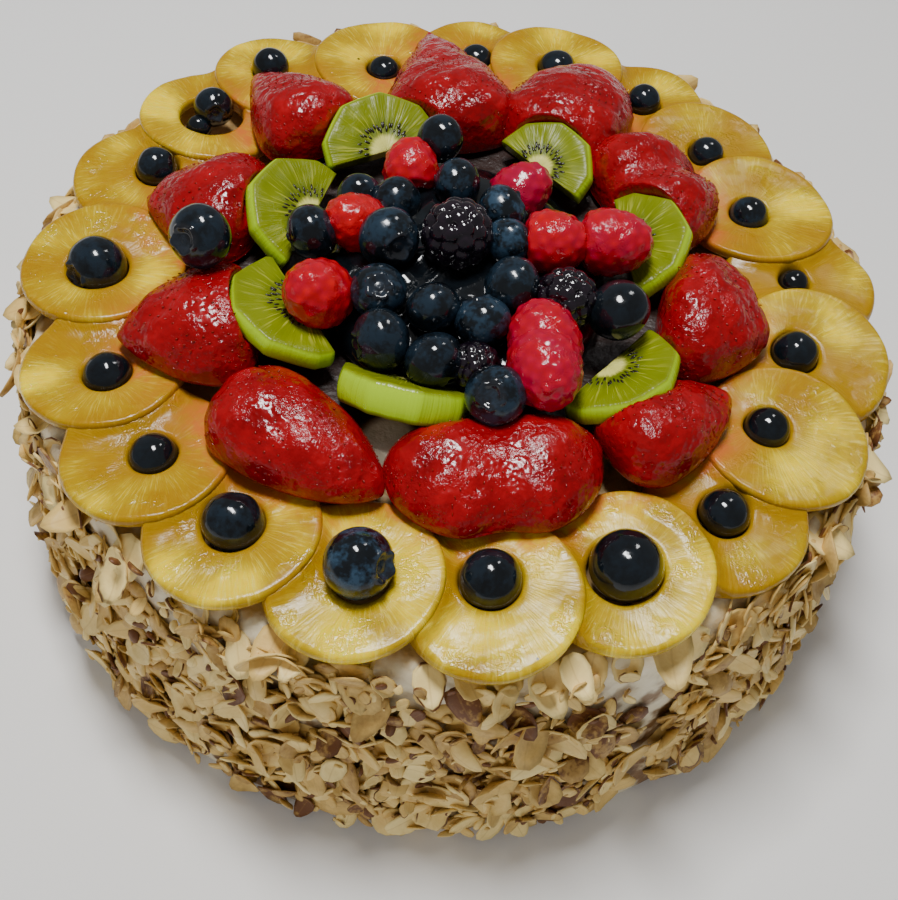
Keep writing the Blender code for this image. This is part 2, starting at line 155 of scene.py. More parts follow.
# Halved strawberries: the height of their cut sides, the half sides of an achene, and the length
# times width of a berry that goes with one. Then for each the x and y of its centre, the direction
# of its tip in degrees, its length, width and height, how deep the furrow at its tip is, and how
# pointed the tip is, both 0 to 1.
STRAWBERRY_Z, ACHENE, ACHENE_ROOM = 117.2, (0.5, 0.3, 0.22), 9.5
STRAWBERRIES = (
    (-47, -80, -28, 61, 37, 18, 0.0, 0.1),
    (17.5, -86, -78, 43, 69, 18, 0.22, 0.0),
    (69, -62.5, 38, 50, 34, 17, 0.0, 0.4),
    (84, -15, -8, 38, 52, 20, 0.0, 0.2),
    (67, 45, 33, 47, 56, 21, 0.25, 0.2),
    (34, 78, 58, 59, 49, 21, 0.0, 0.1),
    (-13, 87, 104, 73, 53, 21, 0.0, 1.0),
    (-67.5, 66.5, 132, 53, 40, 20, 0.0, 0.8),
    (-88, 14, 172, 44, 47, 19, 0.0, 0.5),
    (-82, -40.5, -168, 47, 47, 19, 0.0, 0.5),
)

# Half slices of kiwi: how far the peel side bulges, how many flats the knife left round a whole
# slice, the seeds in each face, and half sides of a seed. Then for each x, y and z at the middle of
# its cut edge, the direction of its round edge in degrees, its radius, its tilt in degrees and its
# thickness.
KIWI_BULGE, KIWI_FLATS, KIWI_SEEDS, KIWI_SEED = 1.4, 9, 30, (1.15, 0.42, 0.25)
KIWIS = (
    (-32, 47, 122.5, 121, 23.0, 30, 7.5),
    (-54, 10, 122.5, 167, 24.0, 30, 7.5),
    (-50.5, -33, 123.5, -145, 24.5, 20, 7.5),
    (-13, -59.5, 120.0, -100, 22.5, 44, 11.0),
    (51.5, -44, 121.5, -38, 23.0, 24, 7.5),
    (57, 12, 122.5, 10, 23.0, 28, 7.5),
    (25, 46, 122.5, 48, 20.0, 28, 7.5),
)

# Heap: the core's centre, its stretch in x and y, and its profile as radius and height.
CORE_CENTRE, CORE_STRETCH = (1.0, -7.0), (1.0, 1.08)
CORE_SHAPE = ((0, 115.4), (49, 115.4), (49, 120), (45, 126), (38, 130), (24, 133.5), (0, 135))
# Blueberries: x, y, z, radius, bloom, 0 to 1, and the direction and rise of the crown in degrees.
BLUEBERRIES = (
    (-12, 43, 136, 8.6, 0.15, 40, -40),
    (-4, 21, 136, 8.8, 0.35, 160, -20),
    (12, 9, 137, 9.0, 0.80, 20, 20),
    (-24, 10, 135, 9.0, 0.30, 150, 0),
    (-37, 14, 133, 7.6, 0.20, 100, 0),
    (-50, -8, 135, 9.4, 0.20, 200, -20),
    (-24, -12, 140, 10.2, 0.35, -60, 20),
    (-25, -33, 137, 9.2, 0.35, -80, 62),
    (-22, -50, 134, 10.0, 0.20, -150, 0),
    (-7, -38, 138, 8.8, 0.25, -60, -30),
    (-5, -56, 134, 9.6, 0.20, -40, -30),
    (9, -41, 137, 9.2, 0.45, 120, 40),
    (17, -26, 139, 9.6, 0.25, 0, -40),
    (15, -7, 139, 8.0, 0.65, 60, -20),
    (15, -68, 135, 9.6, 0.40, -110, 48),
    (52, -29, 136, 10.2, 0.05, 0, -60),
)
# The loose blueberry, in the same order.
LOOSE_BERRY = (-84, -21, 141.0, 10.5, 0.15, -120, 30)
# Raspberries: x, y, z, radius, length, direction and rise of the tip in degrees, and how pink, 0 to
# 1. Their profile is given as shares of radius and length.
RASPBERRIES = (
    (-21, 30, 134, 10.5, 20, 100, 30, 0.3),
    (-37, -2, 136, 10.5, 21, 200, 40, 0.0),
    (-45, -35, 136, 12.0, 22, 230, 50, 0.2),
    (19, 24, 134, 10.5, 21, 30, 30, 0.9),
    (31, -4, 138, 11.5, 22, 0, 10, 0.3),
    (51, 0, 137, 12.0, 25, 0, 8, 0.5),
    (28, -44, 137, 12.5, 24, 110, 20, 0.5),
    (30, -59, 137, 12.5, 25, -75, 5, 0.6),
)
RASPBERRY_SHAPE = (
    (0, 0.16),
    (0.55, 0.02),
    (0.9, 0.12),
    (1, 0.38),
    (0.82, 0.72),
    (0.45, 0.94),
    (0, 1),
)
# Brambles: x, y, z, radius. Then how many drupelets one has.
BRAMBLES = ((-2, -8, 141, 12.0), (35, -27, 136, 10.5), (8, -55, 132, 8.0))
BRAMBLE_DRUPELETS = 54

# Points along and round the skin of each kind.
CREAM_GRID, CORE_GRID, STRAWBERRY_GRID = (110, 220), (60, 120), (96, 130)
RASPBERRY_GRID, BRAMBLE_GRID = (72, 84), (84, 110)
RING_COLUMNS, BERRY_COLUMNS, SMALL_BERRY_COLUMNS = 104, 50, 32

# Colours of the specks in the pineapple and of the darker part of a kiwi seed.
SPECK_COLOUR, SEED_SHADE = (0.03, 0.02, 0.01), (0.006, 0.004, 0.003)

# Lights: name, the property that holds the power, place and size in metres, the height of the
# point on the axis that it faces, and whether it lights surfaces and whether it shows in gloss.
LIGHTS = (
    ("Key light", "key_power", (-0.12, 0.15, 1.28), (0.22, 0.42), 0.1, True, True),
    ("Fill light", "fill_power", (-0.6, -1.6, 0.75), (2.2, 1.2), 0.05, True, False),
    ("Glint light", "glint_power", (0.455, 0.715, 1.09), (0.12, 0.2), 0.1, False, True),
)

# Camera: its axes as the columns of a matrix, its place in metres, and its lens and sensor.
CAMERA_AXES = (
    (0.99448, -0.10497, 0.0),
    (0.08581, 0.81299, -0.57592),
    (0.06045, 0.57272, 0.81751),
)
CAMERA_PLACE = (0.002647, -0.299224, 0.432127)
CAMERA_LENS, CAMERA_SENSOR = 49.63, 36.0
# The camera sees from the first to the second of these, and the floor lies a little under the
# cake, all in metres.
CLIP_START, CLIP_END, FLOOR_DROP = 0.01, 50, 0.0002


# Surfaces


def smooth(low, high, value):
    """Rises from 0 at low to 1 at high along the cubic 3t^2 - 2t^3."""
    share = np.clip((value - low) / (high - low), 0, 1)
    return share * share * (3 - 2 * share)


def waver(points, length, seed, waves=9):
    """Sum of sine waves of about one wavelength in seeded directions, mostly within -1 to 1."""
    rng = np.random.default_rng(seed)
    ways = rng.normal(size=(waves, 3))
    ways *= (rng.uniform(0.75, 1.25, waves) / np.linalg.norm(ways, axis=1))[:, None]
    phases = rng.uniform(0, TURN, waves)
    return np.sin(points @ ways.T * (TURN / length) + phases).sum(-1) / np.sqrt(waves)


def wobble(angle, seed, harmonics=(2, 3, 5, 8)):
    """Sum of cosines of whole multiples of an angle, each weaker as it gets finer."""
    phases = np.random.default_rng(seed).uniform(0, TURN, len(harmonics))
    return sum(np.cos(n * angle + phase) / n for n, phase in zip(harmonics, phases))


def polar(angle, distance):
    """The x and y of a point at an angle in degrees."""
    return distance * np.cos(np.radians(angle)), distance * np.sin(np.radians(angle))


def round_z(radius, angle, height):
    """Points at a radius and a height, at angles in radians about Z."""
    x, y, z = np.broadcast_arrays(radius * np.cos(angle), radius * np.sin(angle), height)
    return np.stack([x, y, z], -1)


def aside_of(angle):
    """Level unit vectors at right angles to the direction of an angle in radians."""
    return np.stack([-np.sin(angle), np.cos(angle), 0 * angle], -1)


def turn_of(spin, rise):
    """Rotation that lifts +X by rise, then turns it by spin about Z, both in degrees."""
    a, b = np.radians(spin), np.radians(rise)
    about_z = np.array([[np.cos(a), -np.sin(a), 0], [np.sin(a), np.cos(a), 0], [0, 0, 1]])
    lift = np.array([[np.cos(b), 0, -np.sin(b)], [0, 1, 0], [np.sin(b), 0, np.cos(b)]])
    return about_z @ lift


def stacked(points, *channels):
    """A grid of points with more values for each of them."""
    flat = [np.broadcast_to(channel, points.shape[:-1])[..., None] for channel in channels]
    return np.concatenate([points, *flat], axis=-1)


def outward(values, quads, fans):
    """Turns every face round where the volume that they enclose comes out below nothing."""
    corners = np.concatenate([quads[:, [0, 1, 2]], quads[:, [0, 2, 3]], fans])
    a, b, c = (values[corners[:, k], :3] for k in range(3))
    if np.einsum("ij,ij->", a, np.cross(b, c)) < 0:
        return values, quads[:, ::-1], fans[:, ::-1]
    return values, quads, fans


def closed_sheet(grid):
    """A skin whose columns close on themselves and whose first and last rows are one point."""
    rows, columns, channels = grid.shape
    values = np.concatenate([grid[:1, 0], grid[1:-1].reshape(-1, channels), grid[-1:, 0]])
    index = 1 + np.arange((rows - 2) * columns).reshape(rows - 2, columns)
    beside = np.roll(index, -1, axis=1)
    quads = np.stack([index[:-1], beside[:-1], beside[1:], index[1:]], -1).reshape(-1, 4)
    first = np.stack([np.zeros(columns, int), beside[0], index[0]], -1)
    last = np.stack([np.full(columns, len(values) - 1), index[-1], beside[-1]], -1)
    return outward(values, quads, np.concatenate([first, last]))


def closed_loop(grid):
    """A skin that closes on itself both ways, as on a ring."""
    rows, columns, channels = grid.shape
    index = np.arange(rows * columns).reshape(rows, columns)
    beside = np.roll(index, -1, axis=1)
    above, across = np.roll(index, -1, axis=0), np.roll(beside, -1, axis=0)
    quads = np.stack([index, beside, across, above], -1).reshape(-1, 4)
    return outward(grid.reshape(-1, channels), quads, NONE)


def normals_of(points):
    """Unit normals of a grid whose columns close, away from its middle, and nothing at a pole."""
    across = np.roll(points, -1, axis=1) - np.roll(points, 1, axis=1)
    normal = np.cross(across, np.gradient(points, axis=0))
    normal /= np.maximum(np.linalg.norm(normal, axis=-1, keepdims=True), 1e-6)
    away = points - points.reshape(-1, 3).mean(0)
    return normal * np.sign(np.einsum("ijk,ijk->", normal, away))


def eased(profile, count, stretch=0.1):
    """A profile of (radius, height) pairs from axis to axis, spaced evenly and with its corners
    rounded by averaging over a share of its length. It meets the axis square."""
    radius, height = np.array(profile, float).T
    length = np.concatenate([[0], np.cumsum(np.hypot(np.diff(radius), np.diff(height)))])
    fine = np.linspace(0, length[-1], 401)
    reach = max(1, int(stretch * 200))
    window = np.hanning(2 * reach + 1)
    window /= window.sum()
    made = []
    for values, kind in ((radius, "odd"), (height, "even")):
        padded = np.pad(np.interp(fine, length, values), reach, "reflect", reflect_type=kind)
        made.append(np.convolve(padded, window, "valid"))
    keep = np.linspace(0, 400, count).astype(int)
    made[0][[0, -1]] = 0
    return made[0][keep], made[1][keep]


def turned(radius, height, columns):
    """A profile turned about Z: each point goes round at its radius and stays at its height."""
    angle = np.linspace(0, TURN, columns, endpoint=False)[None, :]
    return round_z(radius[:, None], angle, height[:, None])


def spots_on(radius, height, count):
    """Points spread evenly over a turned profile, each a golden angle round from the last."""
    band = np.hypot(np.diff(radius), np.diff(height)) * (radius[1:] + radius[:-1])
    area = np.concatenate([[0], np.cumsum(band)])
    place = (np.arange(count) + 0.5) / count * area[-1]
    angle = GOLDEN_ANGLE * np.arange(count)
    return round_z(np.interp(place, area, radius), angle, np.interp(place, area, height))


def nearest(points, spots):
    """Distance from each point of a grid to the nearest spot."""
    flat = points.reshape(-1, 3)
    square = (flat**2).sum(-1)[:, None] - 2 * flat @ spots.T + (spots**2).sum(-1)[None, :]
    return np.sqrt(np.maximum(square.min(1), 0)).reshape(points.shape[:-1])


def cream_skin():
    """A low turned body with a raised middle. Waves of 26, 9 and 4 mm stand on its side and top."""
    profile = (
        (0, 0),
        (FOOT_RADIUS - 2, 0),
        (FOOT_RADIUS, 2),
        (RIM_RADIUS, BED - 4),
        (RIM_RADIUS - 4, BED),
        (MOUND_RADIUS + 2, BED),
        (MOUND_RADIUS - 2, MOUND),
        (0, MOUND),
    )
    rows, columns = CREAM_GRID
    grid = turned(*eased(profile, rows, 0.015), columns)
    lump = 0.55 * waver(grid, 26, 1) + 0.3 * waver(grid, 9, 2) + 0.12 * waver(grid, 4, 3)
    free = smooth(1.5, 8, grid[..., 2])
    grid = grid + normals_of(grid) * (lump * free - 0.6)[..., None]
    grid[..., 2] = np.maximum(grid[..., 2], 0)
    return closed_sheet(grid)


def fold(index, angle):
    """Height of a ring over the level of the wreath: it slopes down to the neighbour that lies
    over it and up over the one that it lies on, with the two slopes joined by a hyperbola."""
    centre, before, after = RINGS[index][0], RINGS[index - 1][0], RINGS[(index + 1) % 20]
    slope_before = -RINGS[index][4] * RING_STEP / ((centre - before) % 360)
    slope_after = -after[4] * RING_STEP / ((after[0] - centre) % 360)
    turn = (angle - centre + 180) % 360 - 180
    mean, bend = (slope_after + slope_before) / 2, (slope_after - slope_before) / 2
    return mean * turn + bend * np.hypot(turn, FOLD_ROUND)


def bar_outline(top, corner, bottom):
    """Outline of a bar with round corners, as shares of its straight half sides and of the
    corner radius: along and up for the sides, and out and over for the corner."""
    bend = np.linspace(0, np.pi / 2, corner + 1)
    s, c = np.sin(bend), np.cos(bend)
    one, flat_top, flat_bottom = np.ones(corner), np.ones(top), np.ones(bottom)
    across = np.linspace(-1, 1, top), np.linspace(1, -1, bottom)
    along = np.concatenate([across[0], one, one, across[1], -one, -one])
    up = np.concatenate([flat_top, one, -one, -flat_bottom, -one, one])
    out = np.concatenate([0 * flat_top, s[1:], c[:-1], 0 * flat_bottom, -s[1:], -c[:-1]])
    over = np.concatenate([flat_top, c[1:], -s[:-1], -flat_bottom, -c[1:], s[:-1]])
    return along, up, out, over


def juice_at(x, y):
    """How strongly the nearest strawberry stains a point: it fades over a few millimetres."""
    stain = np.zeros_like(x)
    for sx, sy, tip, length, width, *_ in STRAWBERRIES:
        c, s = np.cos(np.radians(tip)), np.sin(np.radians(tip))
        along, aside = (x - sx) * c + (y - sy) * s, (y - sy) * c - (x - sx) * s
        beyond = (np.hypot(along / (0.55 * length), aside / (0.5 * width)) - 1) * 0.5 * width
        stain = np.maximum(stain, np.exp(-np.maximum(beyond, 0) / 4.5))
    return stain


def ring_skin(index):
    """A bar with round corners swept round a hole and draped: radius = middle + along, height =
    up + fold + low waves. Its edges wander by the sum of a few cosines, its hole is moved off its
    middle, and glaze fills the step up to a ring that lies over it. The channels are the point's
    place from the ring's own centre, how amber it is, and how stained. The amber is the ring's
    tone with random waves, plus painted shade round the hole, pooled glaze and painted shade along
    the edge of a ring that lies over it, and painted shade where it lies over another ring; it
    also deepens near the outer edge and towards the middle of the cake."""
    angle, distance, outer, hole, _, tone = RINGS[index]
    shift, outward_shift = HOLE_BERRIES[index][1:3]
    around = np.linspace(0, TURN, RING_COLUMNS, endpoint=False)[:, None]
    along, up, out, over = (part[None, :] for part in bar_outline(19, 5, 6))
    rim = outer * (1 + 0.011 * wobble(around, 40 + index)) - 0.2
    inner = (hole - 0.5) * (1 + 0.02 * wobble(around, 70 + index))
    flat_side = (rim - inner) / 2 - RING_CORNER
    radius = (rim + inner) / 2 + along * flat_side + out * RING_CORNER
    high = up * (RING_HALF_THICK - RING_CORNER) + over * RING_CORNER
    x, y = radius * np.cos(around), radius * np.sin(around)
    centre, ahead = polar(angle, distance), polar(angle, 1.0)
    share = (rim - radius) / (rim - inner)
    px = x + centre[0] + share * (outward_shift * ahead[0] - shift * ahead[1])
    py = y + centre[1] + share * (outward_shift * ahead[1] + shift * ahead[0])
    level = RING_LEVEL + fold(index, np.degrees(np.arctan2(py, px)))
    grid = np.stack([px, py, level + high], -1)
    top = np.clip(over, 0, 1)
    relief = 0.12 * waver(grid, 15, 100 + index) + 0.05 * waver(grid, 5.5, 200 + index)
    strands = 0.05 * np.cos(46 * around + 3 * wobble(around, index)) * smooth(0, 6, rim - radius)
    crown = 0.06 * (1 - along**2) * (over > 0.9)
    # Amber: the ring's tone, painted shade a few millimetres round the hole, and deeper near the
    # outer edge.
    amber = 0.6 * tone + 0.6 * np.exp(-(radius - inner) / 3.5) + 0.3 * np.exp(-(rim - radius) / 2.5)
    fillet = 0 * px
    before, after = RINGS[index - 1], RINGS[(index + 1) % 20]
    for near, is_over in ((before, RINGS[index][4] < 0), (after, after[4] > 0)):
        nx, ny = polar(near[0], near[1])
        beyond = np.hypot(px - nx, py - ny) - near[2]
        if is_over:
            fillet = fillet + FILLET * np.exp(-np.maximum(beyond, -0.5) / FILLET_REACH)
            # Pooled glaze and painted shade along the edge of a ring that lies over this one.
            amber = amber + 0.75 * np.exp(-np.abs(beyond) / 7)
        else:
            # Painted shade where this ring lies doubled over the one under it.
            amber = amber + 0.25 * smooth(3, -5, beyond)
    grid[..., 2] += (relief + strands + np.minimum(fillet, FILLET_LIMIT)) * top + crown
    # Random waves of tone, and deeper towards the middle of the cake.
    amber = amber + 0.25 * waver(grid, 22, 300 + index) + 0.35 * smooth(112, 98, np.hypot(px, py))
    return closed_loop(stacked(grid, x, y, high, np.clip(amber, 0, 1), juice_at(px, py)))


def hole_place(index, shift, stand):
    """Where a berry sits: off the bed by stand, or where a ball of its radius rests on the hole's
    edge, at sqrt(radius^2 - hole^2) along the ring's tilted normal."""
    radius, _, outward_shift, *_ = HOLE_BERRIES[index]
    angle, distance, _, hole, *_ = RINGS[index]
    if stand is None:
        high = np.sqrt((radius + SEAT_GAP) ** 2 - hole**2)
        slope = (fold(index, angle + 1) - fold(index, angle - 1)) / (2 * np.radians(distance))
        shift = shift - slope * high
        height = RING_LEVEL + RING_HALF_THICK + fold(index, angle) + high
    else:
        height = BED + 0.4 + stand
    ahead, reach = polar(angle, 1.0), distance + outward_shift
    return reach * ahead[0] - shift * ahead[1], reach * ahead[1] + shift * ahead[0], height


def berry_skin(radius, place, spin, rise, flat, bloom, columns=BERRY_COLUMNS):
    """A flattened ball whose pole is drawn in to a basin, with a low five-lobed crown round it:
    distance = radius * (1 - basin + lip * (0.55 + 0.45 cos 5u)). Channels: crown and bloom."""
    from_pole = np.concatenate([np.linspace(0, 0.6, 15), np.linspace(0.68, np.pi, 20)])[:, None]
    around = np.linspace(0, TURN, columns, endpoint=False)[None, :]
    lobes = np.cos(5 * around + 0.3 * np.sin(2 * around))
    lip = np.exp(-(((from_pole - 0.40 - 0.06 * lobes) / 0.075) ** 2))
    basin = 0.17 * smooth(0.42, 0.22, from_pole)
    reach = radius * (1 - basin + 0.085 * lip * (0.55 + 0.45 * lobes))
    ring = reach * np.sin(from_pole)
    high = flat * reach * np.cos(from_pole) + 0 * around
    # The ball is made with its pole on +X, so that a rise lifts the pole.
    points = np.stack([high, ring * np.cos(around), ring * np.sin(around)], -1)
    uneven = 0.012 * radius * waver(points, 1.1 * radius, int(3000 + 7 * spin + 10 * radius))
    points += normals_of(points) * uneven[..., None]
    crown = smooth(0.58, 0.44, from_pole) + 0 * around
    grid = points @ turn_of(spin, rise).T + np.array(place)
    return closed_sheet(stacked(grid, crown, bloom))


def hole_berry_skins(index):
    """The berry in a ring's hole, and in one of the holes the small berry beside it."""
    radius, shift, _, stand, bloom, spin, rise = HOLE_BERRIES[index]
    twin = index + 1 == TWIN_HOLE
    place = np.array(hole_place(index, TWIN_SHIFT if twin else shift, stand))
    if stand is not None:
        place[2] += radius * HOLE_BERRY_FLAT
    yield berry_skin(radius, place, spin, rise, HOLE_BERRY_FLAT, bloom)
    if twin:
        place = hole_place(index, SMALL_BERRY_SHIFT, 1.5 * SMALL_BERRY_RADIUS)
        small = SMALL_BERRY_RADIUS, place, *SMALL_BERRY_CROWN, HOLE_BERRY_FLAT, bloom
        yield berry_skin(*small, SMALL_BERRY_COLUMNS)


def under_kiwis(points):
    """Presses points down, along a slice's normal, to the underside of each kiwi slice that lies
    over them."""
    for x, y, z, spin, radius, tilt, thick in KIWIS:
        turn = turn_of(spin, tilt)
        local = (points - (x, y, z)) @ turn
        off = np.hypot(local[..., 0], local[..., 1])
        inside = smooth(-0.6, 0.6, local[..., 0]) * smooth(radius + 0.2, radius - 1.0, off)
        press = np.maximum(local[..., 2] + thick / 2 + 0.2, 0) * inside
        points = points - press[..., None] * turn[:, 2]
    return points


def strawberry_skin(index):
    """Half of a tapered berry, cut side down: side = reach(s) * width * cos a and height = reach(s)
    * 2 * height * sin a, where the reach grows fast from the blunt end and tapers to the tip.
    Dimples lie on a golden spiral, with an achene in each. Channel: achene."""
    x, y, tip, length, width, height, furrow, point = STRAWBERRIES[index]
    rows, columns = STRAWBERRY_GRID
    share = 0.5 - 0.5 * np.cos(np.linspace(0, np.pi, rows))[:, None]
    around = np.linspace(0, TURN, columns, endpoint=False)[None, :]
    widest = 0.33 - 0.07 * point

    def reach_at(s):
        blunt = 0.5 * (1 - np.clip((widest - s) / widest, 0, 1) ** 2.8) ** 0.4
        fall = np.clip((s - widest) / (1 - widest), 0, 1)
        taper = 0.5 * (1 - fall ** (2.1 - 0.95 * point)) ** (0.62 + 0.3 * point)
        return np.where(s < widest, blunt, taper)

    def shaped(s, a):
        uneven = 1 + 0.02 * wobble(a, 400 + index) + 0.02 * wobble(3 * s, 420 + index)
        reach = reach_at(s) * uneven
        dip = furrow * np.exp(-((reach * np.cos(a) / 0.16) ** 2))
        forward = length * (s - 0.42)
        forward = np.where(forward > 0, forward * (1 - dip), forward)
        lift = np.clip(np.sin(a), 0, 1) ** 0.85
        upward = reach * 2 * height * (1 - dip) * lift
        return np.stack([forward + 0 * a, reach * width * np.cos(a), upward], -1)

    grid = shaped(share, around)
    normal = normals_of(grid)
    count = int(length * width / ACHENE_ROOM)
    number = np.arange(count)
    seed_share = 0.04 + 0.94 * (number + 0.5) / count
    seed_share = np.interp(seed_share, np.linspace(0, 1, 60), spread_by_reach(reach_at, 60))
    seed_angle = np.pi * ((0.618034 * number) % 1)
    spots = shaped(seed_share, seed_angle)
    upper = smooth(0.02, 0.2, np.sin(around)) * smooth(0, 0.04, share) * smooth(1, 0.97, share)
    dimple = 0.16 * np.exp(-((nearest(grid, spots) / 1.2) ** 2))
    lumps = 0.4 * waver(grid, 15, 440 + index) + 0.16 * waver(grid, 6, 460 + index)
    grid = grid + normal * ((lumps - dimple) * upper)[..., None]
    turn, base = turn_of(tip, 0).T, np.array([x, y, STRAWBERRY_Z])
    flesh = closed_sheet(stacked(under_kiwis(grid @ turn + base), 0.0))
    out = spots * (0, 1, 1) + (1e-3, 0, 0)
    out /= np.linalg.norm(out, axis=1, keepdims=True)
    ahead = np.tile([1.0, 0, 0], (count, 1))
    frames = np.stack([ahead, np.cross(out, ahead), out], -1)
    places = under_kiwis((spots - ACHENE[2] * out) @ turn + base)
    seeds = grains(ACHENE, turn.T @ frames, places)
    seeds = (np.concatenate([seeds[0][:, :3], np.ones((len(seeds[0]), 1))], 1), *seeds[1:])
    return flesh, seeds


def spread_by_reach(reach_at, count):
    """Shares along a berry that give each stretch of it seeds in step with its girth."""
    fine = np.linspace(0, 1, 400)
    girth = np.cumsum(reach_at(fine) + 0.02)
    return np.interp(np.linspace(0, girth[-1], count), girth, fine)


def grains(half_sides, frames, places, columns=6, rows=5):
    """Many small ellipsoids at once, each with its own axes as the columns of a matrix."""
    angle = np.linspace(0, np.pi, rows)
    ball = turned(np.sin(angle), np.cos(angle), columns)[..., [2, 0, 1]] * np.array(half_sides)
    values, quads, fans = closed_sheet(ball)
    points = np.einsum("nij,pj->npi", frames, values) + places[:, None]
    step = np.arange(len(places))[:, None, None] * len(values)
    return points.reshape(-1, 3), (quads + step).reshape(-1, 4), (fans + step).reshape(-1, 3)


def kiwi_outline(radius, seed):
    """Half of a disc peeled in flats: an arc whose radius dips between the knife's flats, then
    the straight cut across."""
    bend = np.radians(np.linspace(-90, 90, 66))
    flat = TURN / KIWI_FLATS
    part = (bend + flat * (seed * 0.37 % 1)) % flat - flat / 2
    peeled = np.cos(flat / 2) / np.cos(part)
    reach = radius * (0.25 + 0.75 * peeled) * 1.012
    cut = np.linspace(1, -1, 26)[1:-1] * radius * 0.97
    x = np.concatenate([reach * np.cos(bend), 0 * cut])
    y = np.concatenate([reach * np.sin(bend), cut])
    return x, y, np.concatenate([np.ones(66), np.zeros(24)])


def kiwi_skin(index):
    """The outline carried in steps towards a point in the face, on top and below, and bulging by
    the rim's depth at half thickness. Channels: place on the slice over its radius, and rim."""
    x, y, z, spin, radius, tilt, thick = KIWIS[index]
    ox, oy, arc = kiwi_outline(radius, index + 1)
    inward = np.array([0, 0.2, 0.4, 0.6, 0.76, 0.88, 0.96, 1, 1, 1, 1, 1, 1, 1, 0.96, 0.8, 0.4, 0])
    swell = np.array([0, 0, 0, 0, 0, 0, 0, 0.15, 0.55, 0.85, 1, 0.85, 0.55, 0.15, 0, 0, 0, 0])
    level = np.array([1] * 6 + [0.985, 0.93, 0.72, 0.4, 0, -0.4, -0.72, -0.93] + [-1] * 4)
    middle = 0.42 * radius
    grow = (1 - KIWI_BULGE / radius * (1 - swell * arc[:, None]).T).T
    px = middle + (ox[:, None] * np.where(arc[:, None] > 0, grow, 1) - middle) * inward
    py = oy[:, None] * grow * inward
    pz = thick / 2 * level + 0 * px
    grid = np.stack([px, py, pz], -1).transpose(1, 0, 2)
    on_face = smooth(0.5, 0.9, np.abs(grid[..., 2]) / (thick / 2))
    grid[..., 2] += 0.14 * waver(grid, 7, 500 + index) * on_face
    rim = (smooth(0.05, 0.6, swell)[None, :] * arc[:, None]).T
    local = grid / radius
    world = grid @ turn_of(spin, tilt).T + np.array([x, y, z])
    return closed_sheet(stacked(world, local[..., 0], local[..., 1], local[..., 2], rim))


def kiwi_seeds():
    """Flat drops in an arc round the core of each slice, points inward, sunk by half in its
    two faces."""
    made = []
    for index, (x, y, z, spin, radius, tilt, thick) in enumerate(KIWIS):
        rng = np.random.default_rng(600 + index)
        count = KIWI_SEEDS
        bend = np.radians(np.linspace(-86, 86, count) + rng.uniform(-1.8, 1.8, count))
        out = 0.40 + 0.05 * np.sin(2.1 * np.arange(count)) + rng.uniform(-0.03, 0.04, count)
        out = radius * out
        for side in (1, -1):
            place = round_z(out, bend, side * (thick / 2 + 0.02))
            up = np.tile([0.0, 0, 1], (count, 1))
            size = rng.uniform(0.75, 1.2, count)[:, None, None]
            frames = np.stack([round_z(1, bend, 0), aside_of(bend), up], -1) * size
            turn = turn_of(spin, tilt)
            made.append(grains(KIWI_SEED, turn @ frames, place @ turn.T + (x, y, z)))
    return made


def raspberry_skin(x, y, z, radius, length, spin, rise, pink):
    """A round-tipped cone, hollow at its blunt end, with a soft bump at each spot of a golden
    spiral. Channels: how deep between bumps, for painted shade there, pinkness, and how far inside
    the hollow."""
    rows, columns = RASPBERRY_GRID
    rings, heights = eased(RASPBERRY_SHAPE, rows, 0.09)
    across, along = rings * radius * 0.97, heights * length
    grid = turned(across, along, columns)
    away = nearest(grid, spots_on(across, along, int(1.05 * radius * length / 3.0)))
    bump = np.exp(-((away / 1.4) ** 2))
    grid = grid + normals_of(grid) * (0.42 * bump - 0.17)[..., None]
    hollow = smooth(12, 4, np.arange(rows))[:, None]
    swap = grid[..., [2, 0, 1]] - (length / 2, 0, 0)
    placed = swap @ turn_of(spin, rise).T + np.array([x, y, z])
    return closed_sheet(stacked(placed, 1 - bump, pink, hollow))


def bramble_skin(number, x, y, z, radius):
    """A ball of round drupelets: each spot of a golden spiral carries a cap of a smaller ball."""
    rows, columns = BRAMBLE_GRID
    angle = np.linspace(0, np.pi, rows)
    ring, high = radius * 0.9 * np.sin(angle), -radius * 0.88 * np.cos(angle)
    grid = turned(ring, high, columns)
    spots = spots_on(ring, high, BRAMBLE_DRUPELETS)
    size = radius * 0.27
    away = nearest(grid, spots)
    cap = np.sqrt(np.clip(1 - (away / size) ** 2, 0, 1))
    grid = grid + normals_of(grid) * (0.17 * radius * (cap - 0.25))[..., None]
    placed = grid @ turn_of(53 * number, 40).T + np.array([x, y, z])
    return closed_sheet(placed)


def core_skin():
    """The low turned core under the berries, with waves of 9 mm on its top. Its crown and bloom
    are 0, so it shows as near-black blueberry skin: partly berries deep in the heap, partly painted
    shade in the gaps between them.
    """
    rows, columns = CORE_GRID
    grid = turned(*eased(CORE_SHAPE, rows, 0.04), columns)
    grid = grid * (*CORE_STRETCH, 1) + (*CORE_CENTRE, 0)
    grid[..., 2] += (0.9 * waver(grid, 9, 31) - 0.6) * smooth(117, 121, grid[..., 2])
    return closed_sheet(stacked(grid, 0.0, 0.0))


